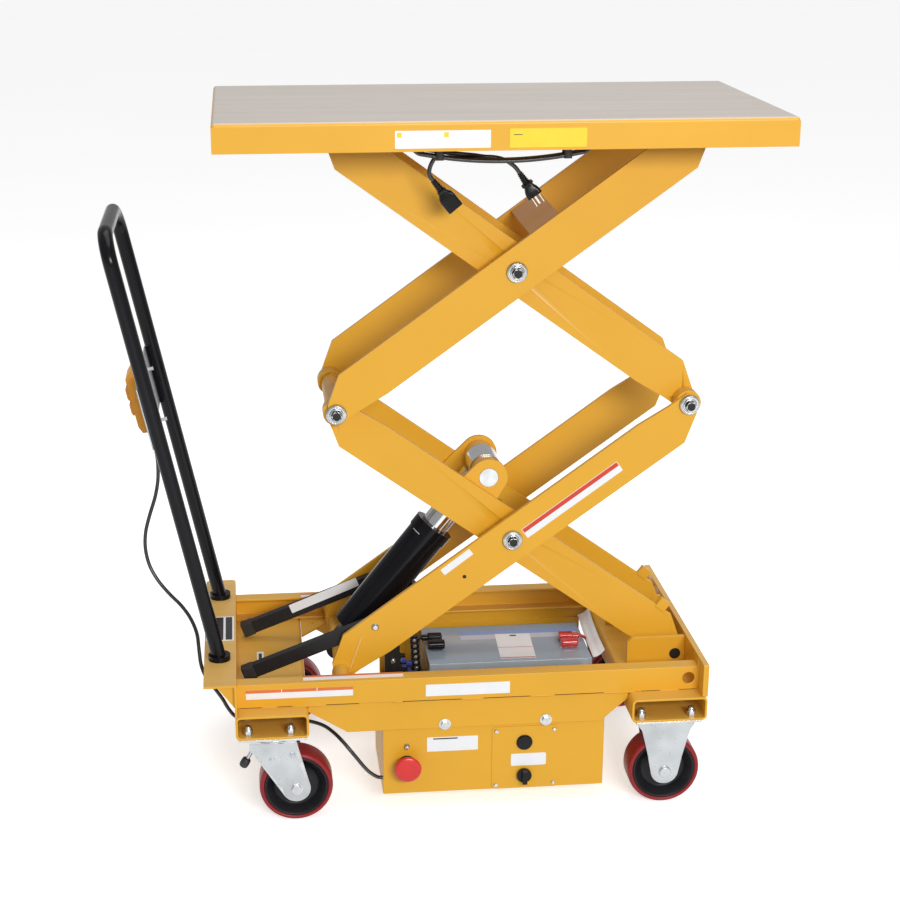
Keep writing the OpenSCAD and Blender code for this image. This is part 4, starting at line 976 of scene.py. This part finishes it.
PROP_INNER_Y = 90
slant_label("arm_label_band", 136.1, 537.5, 36, 201, 19.7, -ARM_Y, "outer_lower", "yellow_paint",
            (paper_red, 0.005, 0.995, 0.58, 0.96))
slant_label("arm_label_small", -62.4, 430.7, 37, 62, 12.4, -ARM_Y, "outer_lower", "yellow_paint")
slant_label("prop_label", -284.5, 293, 22, 134, 17, PROP_INNER_Y, "prop_far", "black_steel")
tag_turn = math.radians(-2.2)
tag_axes = axes(at(69.7, 61.5, BATTERY_TOP + 0.5),
                (math.cos(tag_turn), math.sin(tag_turn), 0), (0, 0, 1))
sticker("battery_tag", tag_axes, 66, 113, "base", "battery_case",
        [(paper_red, 0.01, 0.99, 0.44, 0.455), (paper_red, 0.01, 0.99, 0.02, 0.05),
         (paper_dark, 0.42, 0.6, 0.90, 0.95)])


def slope_ways(degrees):
    """The directions along and square to a slope in the X-Z plane."""
    a = math.radians(degrees)
    return Vector((math.cos(a), 0, math.sin(a))), Vector((-math.sin(a), 0, math.cos(a)))


# A small sticker wrapped on the barrel, and the rubber caps of the props
FOOT, BARREL_R = Vector((-266.5, 0, 233)), 35
LABEL_ENDS, LABEL_INSIDE, LABEL_OUTSIDE = (262, 276), BARREL_R - 0.3, BARREL_R + 0.4
barrel_way, barrel_up = slope_ways(51.7)
label_corners = [(LABEL_ENDS[0], LABEL_INSIDE), (LABEL_ENDS[0], LABEL_OUTSIDE),
                 (LABEL_ENDS[1], LABEL_OUTSIDE), (LABEL_ENDS[1], LABEL_INSIDE)]
wrap = []
for degrees in range(34, 66, 4):
    a = math.radians(degrees)
    out = Vector((0, -math.cos(a), 0)) + math.sin(a) * barrel_up
    wrap.append([FOOT + barrel_way * along + out * r for along, r in label_corners])
add_piece("barrel_label", loft_shape(wrap), HOME, paper, "barrel")
PROP_BOLT, PROP_REACH = Vector((-204.8, 0, 314.8)), 236
prop_way, prop_up = slope_ways(200.8)
for side, y in (("near", -98), ("far", 98)):
    place = Matrix.Translation(PROP_BOLT + prop_way * PROP_REACH + Vector((0, y, 0)))
    cap = moved(rounded_box_shape(22, 19.5, 27.5, 3), place @ turned(prop_way, prop_up))
    add_piece("prop_cap_" + side, cap, HOME, rubber, "prop_" + side, 0.6)

# A small dark disc on the near arm: painted shade of a hole.
arm_hole = lathe_shape([(3.4, -0.4), (3.4, 0.25), (2.9, 0.3), (0, 0.3)], 24)
add_piece("arm_small_hole", arm_hole, axes(at(-49, -ARM_Y, 403), *NEAR), painted_shade, "outer_lower")

# ---- Finishes of the CAD nodes that stay ----

FINISHES = {
    yellow: ["base_rails", "base_brackets", "apron_plates", "battery_tray", "control_box",
             "access_panel", "inner_lower_arms", "outer_lower_arms", "inner_upper_arms",
             "outer_upper_arms", "deck_rails", "lower_roller_near", "lower_roller_far"],
    yellow_sheen_shelf: ["handle_shelf", "right_end_plate", "elbow_tube_left"],
    deck_reflection_coat: ["deck_plate"],
    bracket_zinc: ["pendant_bracket"],
    zinc: ["base_fasteners", "caster_plates", "rigid_forks", "swivel_fork_near",
           "swivel_fork_far", "cylinder_pin", "upper_rollers", "left_pivot_bolts",
           "right_pivot_bolts", "upper_pivot_bolts"],
    black_paint: ["handle_tube", "cylinder_barrel"],
    satin_black: ["base_pivot_shaft", "prop_near", "prop_far", "relay_block"],
    chrome: ["cylinder_rod"],
    gloss_black: ["panel_fittings", "power_switch"],
    orange: ["pendant_case"],
    button_orange: ["up_button", "down_button"],
    battery_grey: ["battery"],
    pump_grey: ["pump_unit"],
}
EDGES = {"base_rails": 1.4, "deck_plate": 0.8, "pendant_case": 1.6, "up_button": 1.4,
         "down_button": 1.4, "battery": 1.8, "handle_shelf": 1.2, "right_end_plate": 2.2,
         "control_box": 1.2, "access_panel": 0.5, "apron_plates": 1.0, "prop_near": 1.6,
         "prop_far": 1.6, "power_switch": 0.8, "relay_block": 1.0, "pump_unit": 2.0}
EDGE, MERGE = 0.6, 0.02
for material, names in FINISHES.items():
    for name in names:
        node = nodes[name]
        node.data.materials.clear()
        node.data.materials.append(material)
        weld = node.modifiers.new("join_faces", "WELD")
        weld.merge_threshold = MERGE * MM
        soften(node, EDGES.get(name, EDGE), 3)


# ---- Floor and lights ----

def add_floor():
    """A pale floor that gives off some light and doesn't light the table from below."""
    data = bpy.data.meshes.new("floor")
    half = 30
    data.from_pydata([(-half, -half, 0), (half, -half, 0), (half, half, 0), (-half, half, 0)],
                     [], [(0, 1, 2, 3)])
    graph = Graph("floor_paper")
    tone = graph.ramp(graph.noise(0.6), [(NOISE_LOW, (0.93, 0.93, 0.93)),
                                         (NOISE_HIGH, (0.95, 0.95, 0.95))])
    graph.link(tone, graph.shader.inputs["Base Color"])
    graph.shader.inputs["Roughness"].default_value = 0.9
    graph.shader.inputs["Specular IOR Level"].default_value = 0.1
    graph.shader.inputs["Emission Color"].default_value = (1, 1, 1, 1)
    graph.shader.inputs["Emission Strength"].default_value = 0.5
    data.materials.append(graph.material)
    floor = bpy.data.objects.new("floor", data)
    floor.visible_diffuse = False
    bpy.context.scene.collection.objects.link(floor)
    floor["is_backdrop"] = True


def add_light(name, place, target, size, power):
    data = bpy.data.lights.new(name, "AREA")
    data.shape = "RECTANGLE"
    data.size, data.size_y = size
    data.energy = power
    lamp = bpy.data.objects.new(name, data)
    turn = (target - Vector(place)).to_track_quat("-Z", "Y").to_matrix().to_4x4()
    lamp.matrix_world = Matrix.Translation(place) @ turn
    bpy.context.scene.collection.objects.link(lamp)


add_floor()
centre = (cad_low + cad_high) / 2
world = bpy.data.worlds.new("studio")
world.use_nodes = True
background = world.node_tree.nodes["Background"]
background.inputs["Color"].default_value = (1, 1, 1, 1)
background.inputs["Strength"].default_value = 0.45
bpy.context.scene.world = world
bpy.context.scene.view_settings.view_transform = "Standard"
add_light("front_softbox", (0.9, -4.6, 2.4), centre, (2.2, 1.0), 160)
add_light("top_softbox", (0.3, 0.2, 3.6), centre, (3.0, 2.4), 58)

low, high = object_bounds()
